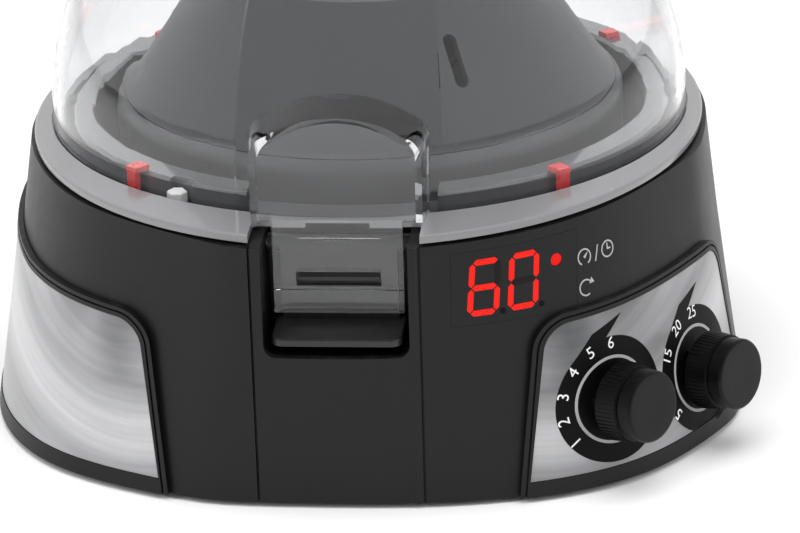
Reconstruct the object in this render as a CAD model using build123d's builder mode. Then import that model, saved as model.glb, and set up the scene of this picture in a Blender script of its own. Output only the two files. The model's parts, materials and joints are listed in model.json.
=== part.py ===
from build123d import *
import math
import os

# Mini centrifuge: oval bench body, clear hinged dome lid, angle rotor, two control knobs.
# Millimetres, +Z up. The origin is on the spin axis at bench level, and -Y is the front.

os.makedirs("parts", exist_ok=True)

# Main heights above the bench
RIM_TOP = 70.0
RIM_T = 1.9
BODY_FOOT = 1.4
DECK_TOP = 67.3
WALL = 2.4
DECK_UNDER = DECK_TOP - WALL

# Plan of the body at its foot and at its deck: half width, depth of its front and back halves,
# height in Y of the line between them and roundness
FOOT_PLAN = (94.5, 84.0, 99.8, -15.3, 2.45)
DECK_PLAN = (86.0, 95.0, 95.0, -6.0, 2.0)
QUARTER_STEPS = 4

# Rim ring of the lid
RIM_HALF_X = 85.0
RIM_HALF_Y = 94.3
RIM_CENTRE_Y = -6.2
RIM_BORE = 81.3
NOTCH_HALF = 20.3
NOTCH_BACK = -86.9

# Dome
DOME_CENTRE_Y = -4.0
DOME_R = 81.0
DOME_H = 70.0
DOME_WALL = 2.2
DOME_POWER = 2.3
FACET_SHIFT = 4.0
FLANGE_R = 83.2
FLANGE_T = 1.2

# Front boss and tongue of the dome
BOSS_FRONT = -89.2
BOSS_HALF = 20.45
BOSS_SHOULDER = 17.5
BOSS_PEAK = 26.2
BOSS_DEPTH = 30.0
BOSS_SPREAD = 4.0
BOSS_WALL = 2.0
TONGUE_HALF = 15.6
TONGUE_T = 2.2
TONGUE_FOOT = 47.1
WINDOW_HALF = 10.15
WINDOW_LOW = 53.7
WINDOW_HIGH = 57.4
LIP_T = 2.7
LIP_TOP = 52.9

# Chamber: collar, bowl and its clips
COLLAR_TOP = 72.5
COLLAR_R = 76.3
COLLAR_CENTRE_Y = -2.4
COLLAR_EDGE = 0.8
BOWL_R = 70.7
DECK_BORE = 74.5
COLLAR_GAP_HALF = 23.0
BOWL_FLOOR = 41.0
BOWL_UNDER = 38.0
BOWL_LOW_R = 67.0
CLIP_ANGLES = (42.0, -42.0, 127.5, -127.5)
CLIP_R = 77.3
CLIP_STEM = ((0.7, 0.1), (0.7, 6.0), (-0.8, 6.0), (-0.8, 0.1))
CLIP_HEAD = ((0.7, 5.3), (0.7, 6.6), (-3.4, 6.6), (-3.4, 5.3))
CLIP_STEM_HALF = 1.5
CLIP_HEAD_HALF = 1.8

# Latch at the front
RECESS_HALF = 17.4
RECESS_BACK = -82.0
RECESS_FLOOR = 39.6
RECESS_WALL = 1.6
PAD_HALF = 15.65
PAD_TOP = 44.4
PAD_T = 1.9
PAD_FRONT = -99.6
PIVOT_Y = -84.6
PIVOT_Z = 63.4
LATCH_PIN_R = 1.0
BARREL_R = 2.1
BARREL_HALF = 17.1
POCKET_REACH = 1.75
STRIP_HALF = 19.85
STRIP_BEAD_R = 1.25
NOSE_TIP = -87.9

# Lid interlock plunger, left of the front
PLUNGER_AZ = -32.0
PLUNGER_REACH = 76.1
PLUNGER_R = 1.6
PLUNGER_HOLE_R = 1.75
PLUNGER_POCKET_R = 3.2
PLUNGER_HEAD_LOW = DECK_TOP + 0.3
PLUNGER_HEAD_H = 2.9
PLUNGER_LOW = 50.3

# Cheeks and labels
CHEEK_PROUD = 1.5
CHEEK_TOP = 46.0
LABEL_T = 0.35
LABEL_SEAT = 0.9
LABEL_GAP = 0.04
SKIN_GAP = 0.12
CHEEK_CORNER = 8.5
LABEL_FOOT = 5.2
CHEEK_BORDER = 2.4
RIGHT_CHEEK_END = -30.0
LEFT_CHEEK_END = 34.0

# Controls: azimuth of the place on the wall, height, azimuth of the axis
SPEED_PLACE = (38.5, 21.8, 50.5)
TIME_PLACE = (56.5, 19.2, 54.5)
KNOB_TILT = 6.5
KNOB_R = 10.0
KNOB_CAP_R = 8.8
KNOB_L = 12.5
KNOB_SKIRT_LOW = 1.8
KNOB_SKIRT_HIGH = 7.8
KNOB_BORE = 10.2
SHAFT_R = 3.0
BUSH_R = 4.4

# Display
DISPLAY_AZ = 24.5
DISPLAY_Z = 55.6
LED_AZ = 31.6
LED_Z = 58.7
LED_R = 1.5

# Rotor and drive
SKIRT_R = 65.0
SKIRT_LOW = 58.0
CONE_TOP_R = 38.8
CONE_TOP_Z = 108.0
CONE_SLOPE = 0.75
BELL_WALL_X = 3.0
SOCKETS = 6
SOCKET_R = 5.6
SOCKET_MOUTH_R = 26.0
HEAD_UPPER = 69.6
HEAD_LOWER = 57.0
DRIVE_R = 2.5
MOTOR_R = 25.0
MOTOR_LOW = 8.0
MOTOR_HIGH = 33.0
PLATE_HIGH = 35.0

# Lid hinge at the back
HINGE_Y = 94.0
HINGE_Z = 64.0
HINGE_PIN_R = 1.5
HINGE_BARREL_R = 4.2
KNUCKLE_HALF = 8.0
EAR_IN = 12.4
EAR_OUT = 18.0
ARM_HALF = 12.0

# Feet and fasteners
FOOT_R = 7.0
FOOT_PLACES = ((56, -62), (-56, -62), (58, 40), (-58, 40))
POST_PLACES = ((38, -76), (-38, -76), (60, 55), (-60, 55))
SCREW_R = 1.5


def plan_point(angle, height, inset):
    """Point of the body's outline at a height, moved in by inset."""
    share = (height - BODY_FOOT) / (DECK_TOP - BODY_FOOT)
    c, s = math.cos(angle), math.sin(angle)
    ends = []
    for half_x, front, back, centre, power in (FOOT_PLAN, DECK_PLAN):
        half_y = front if s < 0 else back
        x = (half_x - inset) * math.copysign(abs(c) ** (2 / power), c)
        y = centre + (half_y - inset) * math.copysign(abs(s) ** (2 / power), s)
        ends.append((x, y))
    foot, deck = ends
    return (foot[0] + (deck[0] - foot[0]) * share, foot[1] + (deck[1] - foot[1]) * share)


def plan_face(height, inset):
    """Face of the body's outline at a height, from four quarter curves."""
    with BuildSketch(Plane.XY.offset(height), mode=Mode.PRIVATE) as outline:
        with BuildLine():
            for quarter in range(4):
                steps = [(quarter + i / QUARTER_STEPS) * math.pi / 2 for i in range(QUARTER_STEPS + 1)]
                points = [plan_point(angle, height, inset) for angle in steps]
                start = (-math.sin(steps[0]), math.cos(steps[0]))
                end = (-math.sin(steps[-1]), math.cos(steps[-1]))
                Spline(*points, tangents=[start, end])
        make_face()
    return outline.sketch.face()


def wall_block(low, high, inset):
    """Solid inside the body's wall between two heights, moved in by inset."""
    return loft([plan_face(low, inset), plan_face(high, inset)], ruled=True, mode=Mode.PRIVATE)


def wall_spot(azimuth, height, inset=0.0):
    """Point of the wall at an azimuth from the front, positive to the right."""
    direction = (math.sin(math.radians(azimuth)), -math.cos(math.radians(azimuth)))
    turns = [math.pi * i / 90 for i in range(181)]
    points = [Vector(*plan_point(turn, height, inset), height) for turn in turns]
    best = None
    for a, b in zip(points, points[1:]):
        cross_a = direction[0] * a.Y - direction[1] * a.X
        cross_b = direction[0] * b.Y - direction[1] * b.X
        if cross_a * cross_b <= 0 and direction[0] * a.X + direction[1] * a.Y > 0:
            best = a + (b - a) * (cross_a / (cross_a - cross_b))
    return best


def facing_plane(spot, azimuth, tilt=0.0):
    """Plane at a spot whose Z looks outwards at an azimuth and a tilt above level."""
    a, t = math.radians(azimuth), math.radians(tilt)
    outward = (math.sin(a) * math.cos(t), -math.cos(a) * math.cos(t), math.sin(t))
    return Plane(origin=spot, x_dir=(math.cos(a), math.sin(a), 0), z_dir=outward)


def cross_plane(x, y, z):
    """Plane at a point that looks along X, for the hinge and latch axes."""
    return Plane((x, y, z), z_dir=(1, 0, 0))


def ring_solid(plane, outer, inner, length):
    """Plain ring on a plane."""
    with BuildPart(mode=Mode.PRIVATE) as ring:
        with BuildSketch(plane):
            Circle(outer)
            if inner > 0:
                Circle(inner, mode=Mode.SUBTRACT)
        extrude(amount=length)
    return ring.part


def bar(size_x, size_y, size_z, x, y, low):
    """Box by its size, its centre in plan and its lowest height."""
    with BuildPart(mode=Mode.PRIVATE) as block:
        with BuildSketch(Plane.XY.offset(low)):
            with Locations((x, y)):
                Rectangle(size_x, size_y)
        extrude(amount=size_z)
    return block.part


def side_extrusion(points, half_width):
    """Outline in the YZ plane, extruded to both sides."""
    with BuildPart(mode=Mode.PRIVATE) as block:
        with BuildSketch(Plane.YZ):
            with BuildLine():
                Polyline(*points, close=True)
            make_face()
        extrude(amount=half_width, both=True)
    return block.part


def revolved(points):
    """Outline of radius and height, turned about the spin axis."""
    with BuildPart(mode=Mode.PRIVATE) as turned:
        with BuildSketch(Plane.XZ):
            with BuildLine():
                Polyline(*points, close=True)
            make_face()
        revolve(axis=Axis.Z)
    return turned.part


def coil(plane, radius, wire, pitch, turns):
    """Round wire wound on a plane's Z."""
    with BuildPart(mode=Mode.PRIVATE) as wound:
        with BuildLine() as path:
            Helix(pitch=pitch, height=pitch * turns, radius=radius)
        with BuildSketch(Plane(origin=path.line @ 0, z_dir=path.line % 0)):
            Circle(wire)
        sweep(is_frenet=True)
    return plane.location * wound.part


def save(name, part):
    """Label a finished piece and write it."""
    part.label = name
    export_step(part, f"parts/{name}.step")


# Control places
CONTROL_GAP = 0.5
CONTROL_PLANES = {}
for name, (place_az, place_z, axis_az) in (("speed", SPEED_PLACE), ("time", TIME_PLACE)):
    place = wall_spot(place_az, place_z, -LABEL_SEAT - LABEL_T - CONTROL_GAP)
    CONTROL_PLANES[name] = facing_plane(place, axis_az, KNOB_TILT)
DISPLAY_PLANE = facing_plane(wall_spot(DISPLAY_AZ, DISPLAY_Z), DISPLAY_AZ)
LED_PLANE = facing_plane(wall_spot(LED_AZ, LED_Z), LED_AZ)
INLET_AZ, INLET_Z = 198.0, 20.0
SWITCH_AZ, SWITCH_Z = 154.0, 24.0
ROCKER_DEPTH = 4.2
ROCKER_REST = -10.0
ROCKER_HALF = 4.9
TRUNNION_R = 1.0
ROCKER_OUTLINE = ((-6.9, 3.0), (-6.6, 6.2), (0, 5.6), (6.6, 6.2), (6.9, 3.0), (3.0, -2.4), (-3.0, -2.4))
INLET_PLANE = facing_plane(wall_spot(INLET_AZ, INLET_Z), INLET_AZ - 4)
SWITCH_PLANE = facing_plane(wall_spot(SWITCH_AZ, SWITCH_Z), SWITCH_AZ + 8)
DOME_CENTRE = Vector(0, DOME_CENTRE_Y, 0)
PLUNGER_FOOT = DOME_CENTRE + facing_plane((0, 0, 0), PLUNGER_AZ).z_dir * PLUNGER_REACH


def display_zone(grow):
    """Block that marks the display window on the wall."""
    return bar(29 + 2 * grow, 60, 18.4 + 2 * grow, 41.8, -90, DISPLAY_Z - 9.2 - grow)


def cheek_zone(shrink, side, foot):
    """Block that bounds a side cheek above a foot, shrunk at its other edges; side is 1 right or -1 left."""
    top = CHEEK_TOP - shrink
    with BuildPart(mode=Mode.PRIVATE) as front_view:
        with BuildSketch(Plane.XZ.offset(-120)):
            with BuildLine():
                Polyline(
                    (42.7 + shrink, foot),
                    (46.7 + shrink, top),
                    (74, top + 0.2),
                    (80, top + 20),
                    (120, top + 20),
                    (120, foot),
                    close=True,
                )
            make_face()
            corner = [v for v in vertices() if abs(v.Y - top) < 0.05]
            fillet(corner, CHEEK_CORNER - 0.8 * shrink)
        extrude(amount=240)
    with BuildPart(mode=Mode.PRIVATE) as side_view:
        with BuildSketch(Plane.YZ):
            with BuildLine():
                if side > 0:
                    end = RIGHT_CHEEK_END - shrink
                    Polyline((-120, foot), (-120, top), (end - 2, top), (end, foot), close=True)
                else:
                    end = LEFT_CHEEK_END - shrink
                    Polyline(
                        (-120, foot),
                        (-120, top),
                        (-52, top),
                        (end - 20, top + 4.5),
                        (end - 7, top - 4),
                        (end, foot),
                        close=True,
                    )
            make_face()
            if side > 0:
                corner = [v for v in vertices() if abs(v.Y - top) < 0.05 and v.X > -100]
                fillet(corner, CHEEK_CORNER - 0.8 * shrink)
        extrude(amount=120)
    zone = front_view.part & side_view.part
    return zone if side > 0 else zone.mirror(Plane.YZ)


# Housing: one moulded shell with deck, recess opening, strip beads and screw posts
posts = Part()
for x, y in POST_PLACES:
    posts += ring_solid(Plane((x, y, 4.7)), 4.0, SCREW_R, 11.3)
    reach = math.hypot(x, y)
    with BuildPart(mode=Mode.PRIVATE) as rib:
        with BuildSketch(Plane(origin=(x, y, 4.7), x_dir=(x / reach, y / reach, 0), z_dir=(0, 0, 1))):
            with Locations((18, 0)):
                Rectangle(29, 2.0)
        extrude(amount=8)
    posts += rib.part & wall_block(BODY_FOOT, 40, WALL - 0.8)

beads = Part()
grooves = Part()
front_top = wall_spot(11.3, DECK_TOP - 0.4)
front_foot = wall_spot(11.3, BODY_FOOT + 0.2)
for side in (-1, 1):
    x = side * (STRIP_HALF - STRIP_BEAD_R - 0.1)
    with BuildPart(mode=Mode.PRIVATE) as bead:
        with BuildLine():
            Line((x, front_foot.Y + 0.75, BODY_FOOT), (x, front_top.Y + 0.75, DECK_TOP))
        with BuildSketch(Plane.XY.offset(BODY_FOOT)):
            with Locations((x, front_foot.Y + 0.75)):
                Circle(STRIP_BEAD_R)
        sweep()
    beads += bead.part
    groove_points = [
        (front_foot.Y - 3, BODY_FOOT - 1),
        (front_foot.Y + 0.9, BODY_FOOT - 1),
        (front_top.Y + 0.9, DECK_TOP + 1),
        (front_top.Y - 3, DECK_TOP + 1),
    ]
    grooves += Pos(side * (STRIP_HALF + 0.25), 0, 0) * side_extrusion(groove_points, 0.3)

with BuildPart(mode=Mode.PRIVATE) as recess_cut:
    with BuildSketch(Plane.XZ.offset(81.9)):
        with BuildLine():
            Polyline(
                (-RECESS_HALF, DECK_TOP + 3),
                (-RECESS_HALF, RECESS_FLOOR),
                (RECESS_HALF, RECESS_FLOOR),
                (RECESS_HALF, DECK_TOP + 3),
                close=True,
            )
        make_face()
        fillet([v for v in vertices() if v.Y < RECESS_FLOOR + 1], 3.0)
    extrude(amount=30)

ear_outline = [
    (86.4, 54.0),
    (HINGE_Y - 1.0, HINGE_Z - HINGE_BARREL_R),
    (HINGE_Y - 1.0, HINGE_Z + HINGE_BARREL_R - 0.1),
    (86.4, 66.6),
]
ears = Part()
for side in (-1, 1):
    middle = side * (EAR_IN + EAR_OUT) / 2
    half = (EAR_OUT - EAR_IN) / 2
    ear = Pos(middle, 0, 0) * side_extrusion(ear_outline, half)
    barrel = ring_solid(cross_plane(middle - half, HINGE_Y, HINGE_Z), HINGE_BARREL_R, 0, 2 * half)
    ears += ear + barrel
ears -= wall_block(BODY_FOOT, DECK_TOP, WALL / 2)
ears -= ring_solid(cross_plane(-40, HINGE_Y, HINGE_Z), HINGE_PIN_R, 0, 80)

with BuildPart() as housing:
    add(wall_block(BODY_FOOT, DECK_TOP, 0))
    add(beads)
    add(wall_block(BODY_FOOT - 1, DECK_UNDER, WALL), mode=Mode.SUBTRACT)
    add(ring_solid(Plane.XY.offset(DECK_UNDER - 1), DECK_BORE, 0, WALL + 2), mode=Mode.SUBTRACT)
    add(grooves, mode=Mode.SUBTRACT)
    add(recess_cut.part, mode=Mode.SUBTRACT)
    add(display_zone(0.05), mode=Mode.SUBTRACT)
    add(ring_solid(Plane(PLUNGER_FOOT), PLUNGER_POCKET_R, 0, DECK_TOP + 1), mode=Mode.SUBTRACT)
    for plane in CONTROL_PLANES.values():
        add(ring_solid(plane.offset(-14), BUSH_R + 0.2, 0, 20), mode=Mode.SUBTRACT)
    add(ring_solid(INLET_PLANE.offset(-8), 5.6, 0, 16), mode=Mode.SUBTRACT)
    add(ring_solid(INLET_PLANE.offset(-0.8), 8.1, 0, 8), mode=Mode.SUBTRACT)
    with BuildSketch(SWITCH_PLANE.offset(-8)):
        Rectangle(19.2, 12.9)
    extrude(amount=16, mode=Mode.SUBTRACT)
    with BuildSketch(SWITCH_PLANE.offset(-0.9)):
        Rectangle(21.4, 15.4)
    extrude(amount=8, mode=Mode.SUBTRACT)
    add(posts)
    add(ears)
save("housing", housing.part)

# Cheeks: raised side panels with a double border and a seat for the label
for name, side in (("right", 1), ("left", -1)):
    with BuildPart() as cheek:
        add(wall_block(BODY_FOOT, CHEEK_TOP + 8, -CHEEK_PROUD) & cheek_zone(0, side, BODY_FOOT))
        add(wall_block(BODY_FOOT, DECK_TOP, -SKIN_GAP), mode=Mode.SUBTRACT)
        groove = cheek_zone(0.9, side, BODY_FOOT - 2) - cheek_zone(1.35, side, BODY_FOOT - 3)
        add(groove - wall_block(BODY_FOOT - 1, CHEEK_TOP + 9, -0.9), mode=Mode.SUBTRACT)
        seat = cheek_zone(CHEEK_BORDER, side, LABEL_FOOT) - wall_block(BODY_FOOT - 1, CHEEK_TOP + 9, -LABEL_SEAT)
        add(seat, mode=Mode.SUBTRACT)
        if side > 0:
            for plane in CONTROL_PLANES.values():
                add(ring_solid(plane.offset(-14), BUSH_R + 0.2, 0, 20), mode=Mode.SUBTRACT)
    save(f"{name}_cheek", cheek.part)
    with BuildPart() as label:
        add(wall_block(BODY_FOOT, CHEEK_TOP + 8, -LABEL_SEAT - LABEL_T) & cheek_zone(CHEEK_BORDER + 0.1, side, LABEL_FOOT + 0.1))
        add(wall_block(BODY_FOOT - 1, CHEEK_TOP + 9, -LABEL_SEAT - LABEL_GAP), mode=Mode.SUBTRACT)
        if side > 0:
            for plane in CONTROL_PLANES.values():
                add(ring_solid(plane.offset(-14), BUSH_R + 0.4, 0, 20), mode=Mode.SUBTRACT)
    save(f"{name}_label", label.part)

# Display window, flush in the wall
with BuildPart() as display_window:
    add(wall_block(BODY_FOOT, DECK_TOP, 0) & display_zone(0))
    add(wall_block(BODY_FOOT, DECK_TOP, 1.8), mode=Mode.SUBTRACT)
    add(ring_solid(LED_PLANE.offset(-10), LED_R + 0.05, 0, 20), mode=Mode.SUBTRACT)
save("display_window", display_window.part)

with BuildPart() as display_module:
    with BuildSketch(DISPLAY_PLANE.offset(-13.5)):
        Rectangle(25, 17.6)
    extrude(amount=8)
    with BuildSketch(DISPLAY_PLANE.offset(-15.1)):
        Rectangle(30, 18)
    extrude(amount=1.6)
save("display_module", display_module.part)

save("indicator_led", ring_solid(LED_PLANE.offset(-2.85), LED_R, 0, 2.8))

# Latch recess liner behind the front wall
with BuildPart() as latch_recess:
    liner_front = -102.0
    liner_back = RECESS_BACK + RECESS_WALL
    middle_y = (liner_front + liner_back) / 2
    add(
        bar(
            2 * (RECESS_HALF + RECESS_WALL),
            liner_back - liner_front,
            DECK_UNDER - 0.1 - (RECESS_FLOOR - RECESS_WALL),
            0,
            middle_y,
            RECESS_FLOOR - RECESS_WALL,
        )
        & wall_block(BODY_FOOT, DECK_UNDER, WALL + 0.1)
    )
    with BuildSketch(Plane.XZ.offset(-RECESS_BACK)):
        with BuildLine():
            Polyline(
                (-RECESS_HALF, DECK_TOP + 3),
                (-RECESS_HALF, RECESS_FLOOR),
                (RECESS_HALF, RECESS_FLOOR),
                (RECESS_HALF, DECK_TOP + 3),
                close=True,
            )
        make_face()
        fillet([v for v in vertices() if v.Y < RECESS_FLOOR + 1], 3.0)
    extrude(amount=30, mode=Mode.SUBTRACT)
    add(
        ring_solid(cross_plane(-40, PIVOT_Y, PIVOT_Z), LATCH_PIN_R + 0.02, 0, 80),
        mode=Mode.SUBTRACT,
    )
save("latch_recess", latch_recess.part)

# Latch lever: pad, plate behind the tongue, nose and pivot knuckles
plate_front = -86.7
plate_back = -84.9
with BuildPart() as latch_lever:
    with BuildSketch(Plane.XY.offset(PAD_TOP - PAD_T)):
        with Locations((0, (PAD_FRONT + plate_back) / 2)):
            Rectangle(2 * PAD_HALF, plate_back - PAD_FRONT)
        fillet(vertices().group_by(Axis.Y)[0], 3.0)
    extrude(amount=PAD_T)
    fillet(faces().sort_by(Axis.Z)[-1].edges().group_by(Axis.Y)[0], 0.5)
    plate_y = (plate_front + plate_back) / 2
    add(bar(28, plate_back - plate_front, PIVOT_Z - PAD_TOP + PAD_T, 0, plate_y, PAD_TOP - PAD_T))
    nose_points = [(plate_front + 0.2, 54.2), (NOSE_TIP, 54.6), (NOSE_TIP, 55.6), (plate_front + 0.2, 57.0)]
    add(side_extrusion(nose_points, 9.7))
    add(ring_solid(cross_plane(-BARREL_HALF, PIVOT_Y, PIVOT_Z), BARREL_R, 0, 2 * BARREL_HALF))
    add(ring_solid(cross_plane(-40, PIVOT_Y, PIVOT_Z), LATCH_PIN_R + 0.05, 0, 80), mode=Mode.SUBTRACT)
    pocket_back = -81.6
    pocket_front = PIVOT_Y - POCKET_REACH
    pocket_y = (pocket_front + pocket_back) / 2
    spring_pocket = bar(6.4, pocket_back - pocket_front, 2 * POCKET_REACH, 0, pocket_y, PIVOT_Z - POCKET_REACH)
    add(spring_pocket, mode=Mode.SUBTRACT)
save("latch_lever", latch_lever.part)

latch_pin_part = ring_solid(cross_plane(-18.9, PIVOT_Y, PIVOT_Z), LATCH_PIN_R, 0, 37.8)
save("latch_pin", latch_pin_part)
save("latch_spring", coil(cross_plane(-2.4, PIVOT_Y, PIVOT_Z), 1.35, 0.22, 1.2, 4))


def deck_plane(spot, facing, raised=0.0):
    """Level plane over a spot, turned to a facing plane, raised above the deck."""
    return Plane(origin=spot + Vector(0, 0, DECK_TOP + raised), x_dir=facing.x_dir, z_dir=(0, 0, 1))


# Bowl, collar and clips
with BuildPart() as chamber_bowl:
    add(
        revolved(
            [
                (6.5, BOWL_UNDER),
                (64.0, BOWL_UNDER),
                (69.2, 46.0),
                (72.7, DECK_UNDER - 2.1),
                (79.5, DECK_UNDER - 2.1),
                (79.5, DECK_UNDER - 0.1),
                (BOWL_R, DECK_UNDER - 0.1),
                (BOWL_LOW_R, 47.0),
                (62.5, BOWL_FLOOR),
                (11.0, BOWL_FLOOR),
                (8.5, 44.5),
                (6.5, 44.5),
            ]
        )
    )
    with Locations(Plane.XY.offset(BOWL_UNDER - 1)):
        with PolarLocations(32, 3, 30):
            Cylinder(SCREW_R, 3.4, align=(Align.CENTER, Align.CENTER, Align.MIN), mode=Mode.SUBTRACT)
    add(ring_solid(Plane(PLUNGER_FOOT + Vector(0, 0, 60)), PLUNGER_HOLE_R, 0, 8), mode=Mode.SUBTRACT)
save("chamber_bowl", chamber_bowl.part)

with BuildPart() as collar_ring:
    with BuildSketch(Plane.XY.offset(DECK_TOP)):
        with Locations((0, COLLAR_CENTRE_Y)):
            Circle(COLLAR_R)
    extrude(amount=COLLAR_TOP - DECK_TOP)
    chamfer(faces().sort_by(Axis.Z)[-1].edges(), COLLAR_EDGE)
    add(ring_solid(Plane.XY.offset(DECK_UNDER), DECK_BORE - 0.1, 0, WALL))
    add(ring_solid(Plane.XY.offset(DECK_UNDER - 1), BOWL_R, 0, 20), mode=Mode.SUBTRACT)
    inner_edge = [
        (BOWL_R - 1, COLLAR_TOP - COLLAR_EDGE - 1),
        (BOWL_R - 1, COLLAR_TOP + 1),
        (BOWL_R + COLLAR_EDGE + 1, COLLAR_TOP + 1),
    ]
    add(revolved(inner_edge), mode=Mode.SUBTRACT)
    add(bar(2 * COLLAR_GAP_HALF, 60, 8, 0, -80, DECK_TOP + 0.3), mode=Mode.SUBTRACT)
    for angle in CLIP_ANGLES:
        spot = facing_plane((0, 0, 0), angle)
        with BuildSketch(deck_plane(DOME_CENTRE + spot.z_dir * CLIP_R, spot)):
            Rectangle(4.6, 4.2)
        extrude(amount=10, mode=Mode.SUBTRACT)
    with BuildSketch(deck_plane(PLUNGER_FOOT, facing_plane((0, 0, 0), PLUNGER_AZ))):
        Rectangle(6.6, 6.4)
    extrude(amount=10, mode=Mode.SUBTRACT)
save("collar_ring", collar_ring.part)

clips = Part()
for angle in CLIP_ANGLES:
    spot = facing_plane((0, 0, 0), angle)
    clip_foot = DOME_CENTRE + spot.z_dir * CLIP_R + Vector(0, 0, DECK_TOP)
    side_plane = Plane(origin=clip_foot, x_dir=spot.z_dir, z_dir=-spot.x_dir)
    with BuildPart(mode=Mode.PRIVATE) as clip:
        for outline, half in ((CLIP_STEM, CLIP_STEM_HALF), (CLIP_HEAD, CLIP_HEAD_HALF)):
            with BuildSketch(side_plane):
                with BuildLine():
                    Polyline(*outline, close=True)
                make_face()
            extrude(amount=half, both=True)
    clips += clip.part
save("collar_clips", clips)

# Lid interlock: sprung white hexagonal plunger beside the collar
with BuildPart() as interlock_plunger:
    with BuildSketch(Plane(PLUNGER_FOOT + Vector(0, 0, PLUNGER_HEAD_LOW))):
        RegularPolygon(2.45, 6)
    extrude(amount=PLUNGER_HEAD_H)
    chamfer(faces().sort_by(Axis.Z)[-1].edges(), 0.4)
    stem_low = PLUNGER_FOOT + Vector(0, 0, PLUNGER_LOW)
    add(ring_solid(Plane(stem_low), PLUNGER_R, 0, PLUNGER_HEAD_LOW - PLUNGER_LOW + 0.5))
    add(ring_solid(Plane(PLUNGER_FOOT + Vector(0, 0, 58)), 2.6, 0, 1.2))
save("interlock_plunger", interlock_plunger.part)
save("plunger_spring", coil(Plane(PLUNGER_FOOT + Vector(0, 0, 48.3)), 2.3, 0.3, 1.82, 5))

with BuildPart() as lid_switch:
    add(bar(9, 6.4, 5.6, PLUNGER_FOOT.X, PLUNGER_FOOT.Y, 42.0))
save("lid_switch", lid_switch.part)

# Lid rim: oval ring with a notch for the tongue and a rebate for the dome's flange
with BuildPart() as lid_rim:
    with BuildSketch(Plane.XY.offset(RIM_TOP - RIM_T)):
        with Locations((0, RIM_CENTRE_Y)):
            Ellipse(RIM_HALF_X, RIM_HALF_Y)
        with Locations((0, DOME_CENTRE_Y)):
            Circle(RIM_BORE, mode=Mode.SUBTRACT)
    extrude(amount=RIM_T)
    fillet(faces().sort_by(Axis.Z)[-1].edges().sort_by(SortBy.LENGTH)[-1], 0.7)
    notch = bar(2 * NOTCH_HALF, 30, 10, 0, NOTCH_BACK - 15, RIM_TOP - 6)
    add(notch, mode=Mode.SUBTRACT)
    fillet([e for e in edges().filter_by(Axis.Z) if abs(abs(e.center().X) - NOTCH_HALF) < 0.1], 1.2)
    rebate_low = DOME_CENTRE + Vector(0, 0, RIM_TOP - RIM_T - 1)
    rebate = ring_solid(Plane(rebate_low), FLANGE_R + 0.05, 0, 1 + FLANGE_T + 0.02)
    add(rebate, mode=Mode.SUBTRACT)
save("lid_rim", lid_rim.part)

with BuildPart() as lid_seal:
    with BuildSketch(Plane.XY.offset(DECK_TOP + 0.12)):
        with Locations((0, RIM_CENTRE_Y)):
            Ellipse(RIM_HALF_X - 1.3, RIM_HALF_Y - 1.5)
        with Locations((0, DOME_CENTRE_Y)):
            Circle(FLANGE_R - 0.8, mode=Mode.SUBTRACT)
        with Locations((0, -110)):
            Rectangle(2 * NOTCH_HALF + 2, 60, mode=Mode.SUBTRACT)
    extrude(amount=RIM_TOP - RIM_T - DECK_TOP - 0.12)
save("lid_seal", lid_seal.part)


def dome_points(radius, height):
    """Meridian points of the dome from its foot to its crown."""
    points = []
    for i in range(9):
        angle = math.pi / 2 * i / 8
        r = radius * math.cos(angle) ** (2 / DOME_POWER) if i < 8 else 0.0
        points.append((r, RIM_TOP + height * math.sin(angle) ** (2 / DOME_POWER)))
    return points


def dome_solid(radius, height, low):
    """Turned dome with a flat facet at its front."""
    foot = RIM_TOP
    with BuildPart(mode=Mode.PRIVATE) as turned:
        with BuildSketch(Plane.XZ):
            with BuildLine():
                Spline(*dome_points(radius, height), tangents=[(0, 1), (-1, 0)])
                Polyline((0, foot + height), (0, low), (radius, low), (radius, foot))
            make_face()
        revolve(axis=Axis.Z)
    with BuildPart(mode=Mode.PRIVATE) as facet:
        with BuildSketch(Plane.YZ):
            with BuildLine():
                front = [(-(r - FACET_SHIFT), z) for r, z in dome_points(radius, height)]
                Spline(*front, tangents=[(0, 1), (1, 0)])
                Polyline(
                    (FACET_SHIFT, foot + height),
                    (200, foot + height),
                    (200, low),
                    (front[0][0], low),
                    front[0],
                )
            make_face()
        extrude(amount=120, both=True)
    return Pos(0, DOME_CENTRE_Y, 0) * (turned.part & facet.part)


def boss_face(y, grow, low):
    """Arch outline of the front boss at a depth."""
    half = BOSS_HALF + grow
    shoulder = RIM_TOP + BOSS_SHOULDER + grow
    with BuildSketch(Plane.XZ.offset(-y), mode=Mode.PRIVATE) as arch:
        with BuildLine():
            Polyline((-half, shoulder - 1), (-half, low), (half, low), (half, shoulder - 1))
            ThreePointArc((half, shoulder - 1), (half - 1.1, shoulder + 1.9), (half - 3.9, shoulder + 4.0))
            ThreePointArc(
                (half - 3.9, shoulder + 4.0),
                (0, RIM_TOP + BOSS_PEAK + grow),
                (3.9 - half, shoulder + 4.0),
            )
            ThreePointArc((3.9 - half, shoulder + 4.0), (1.1 - half, shoulder + 1.9), (-half, shoulder - 1))
        make_face()
    return arch.sketch.face()


def boss_solid(front, grow, low):
    """Boss that widens from its front face into the dome."""
    back_grow = grow + BOSS_SPREAD * (front + BOSS_DEPTH - BOSS_FRONT) / BOSS_DEPTH
    front_grow = grow + BOSS_SPREAD * (front - BOSS_FRONT) / BOSS_DEPTH
    back = front + BOSS_DEPTH
    arches = [boss_face(front, front_grow, low), boss_face(back, back_grow, low)]
    return loft(arches, ruled=True, mode=Mode.PRIVATE)


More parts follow.
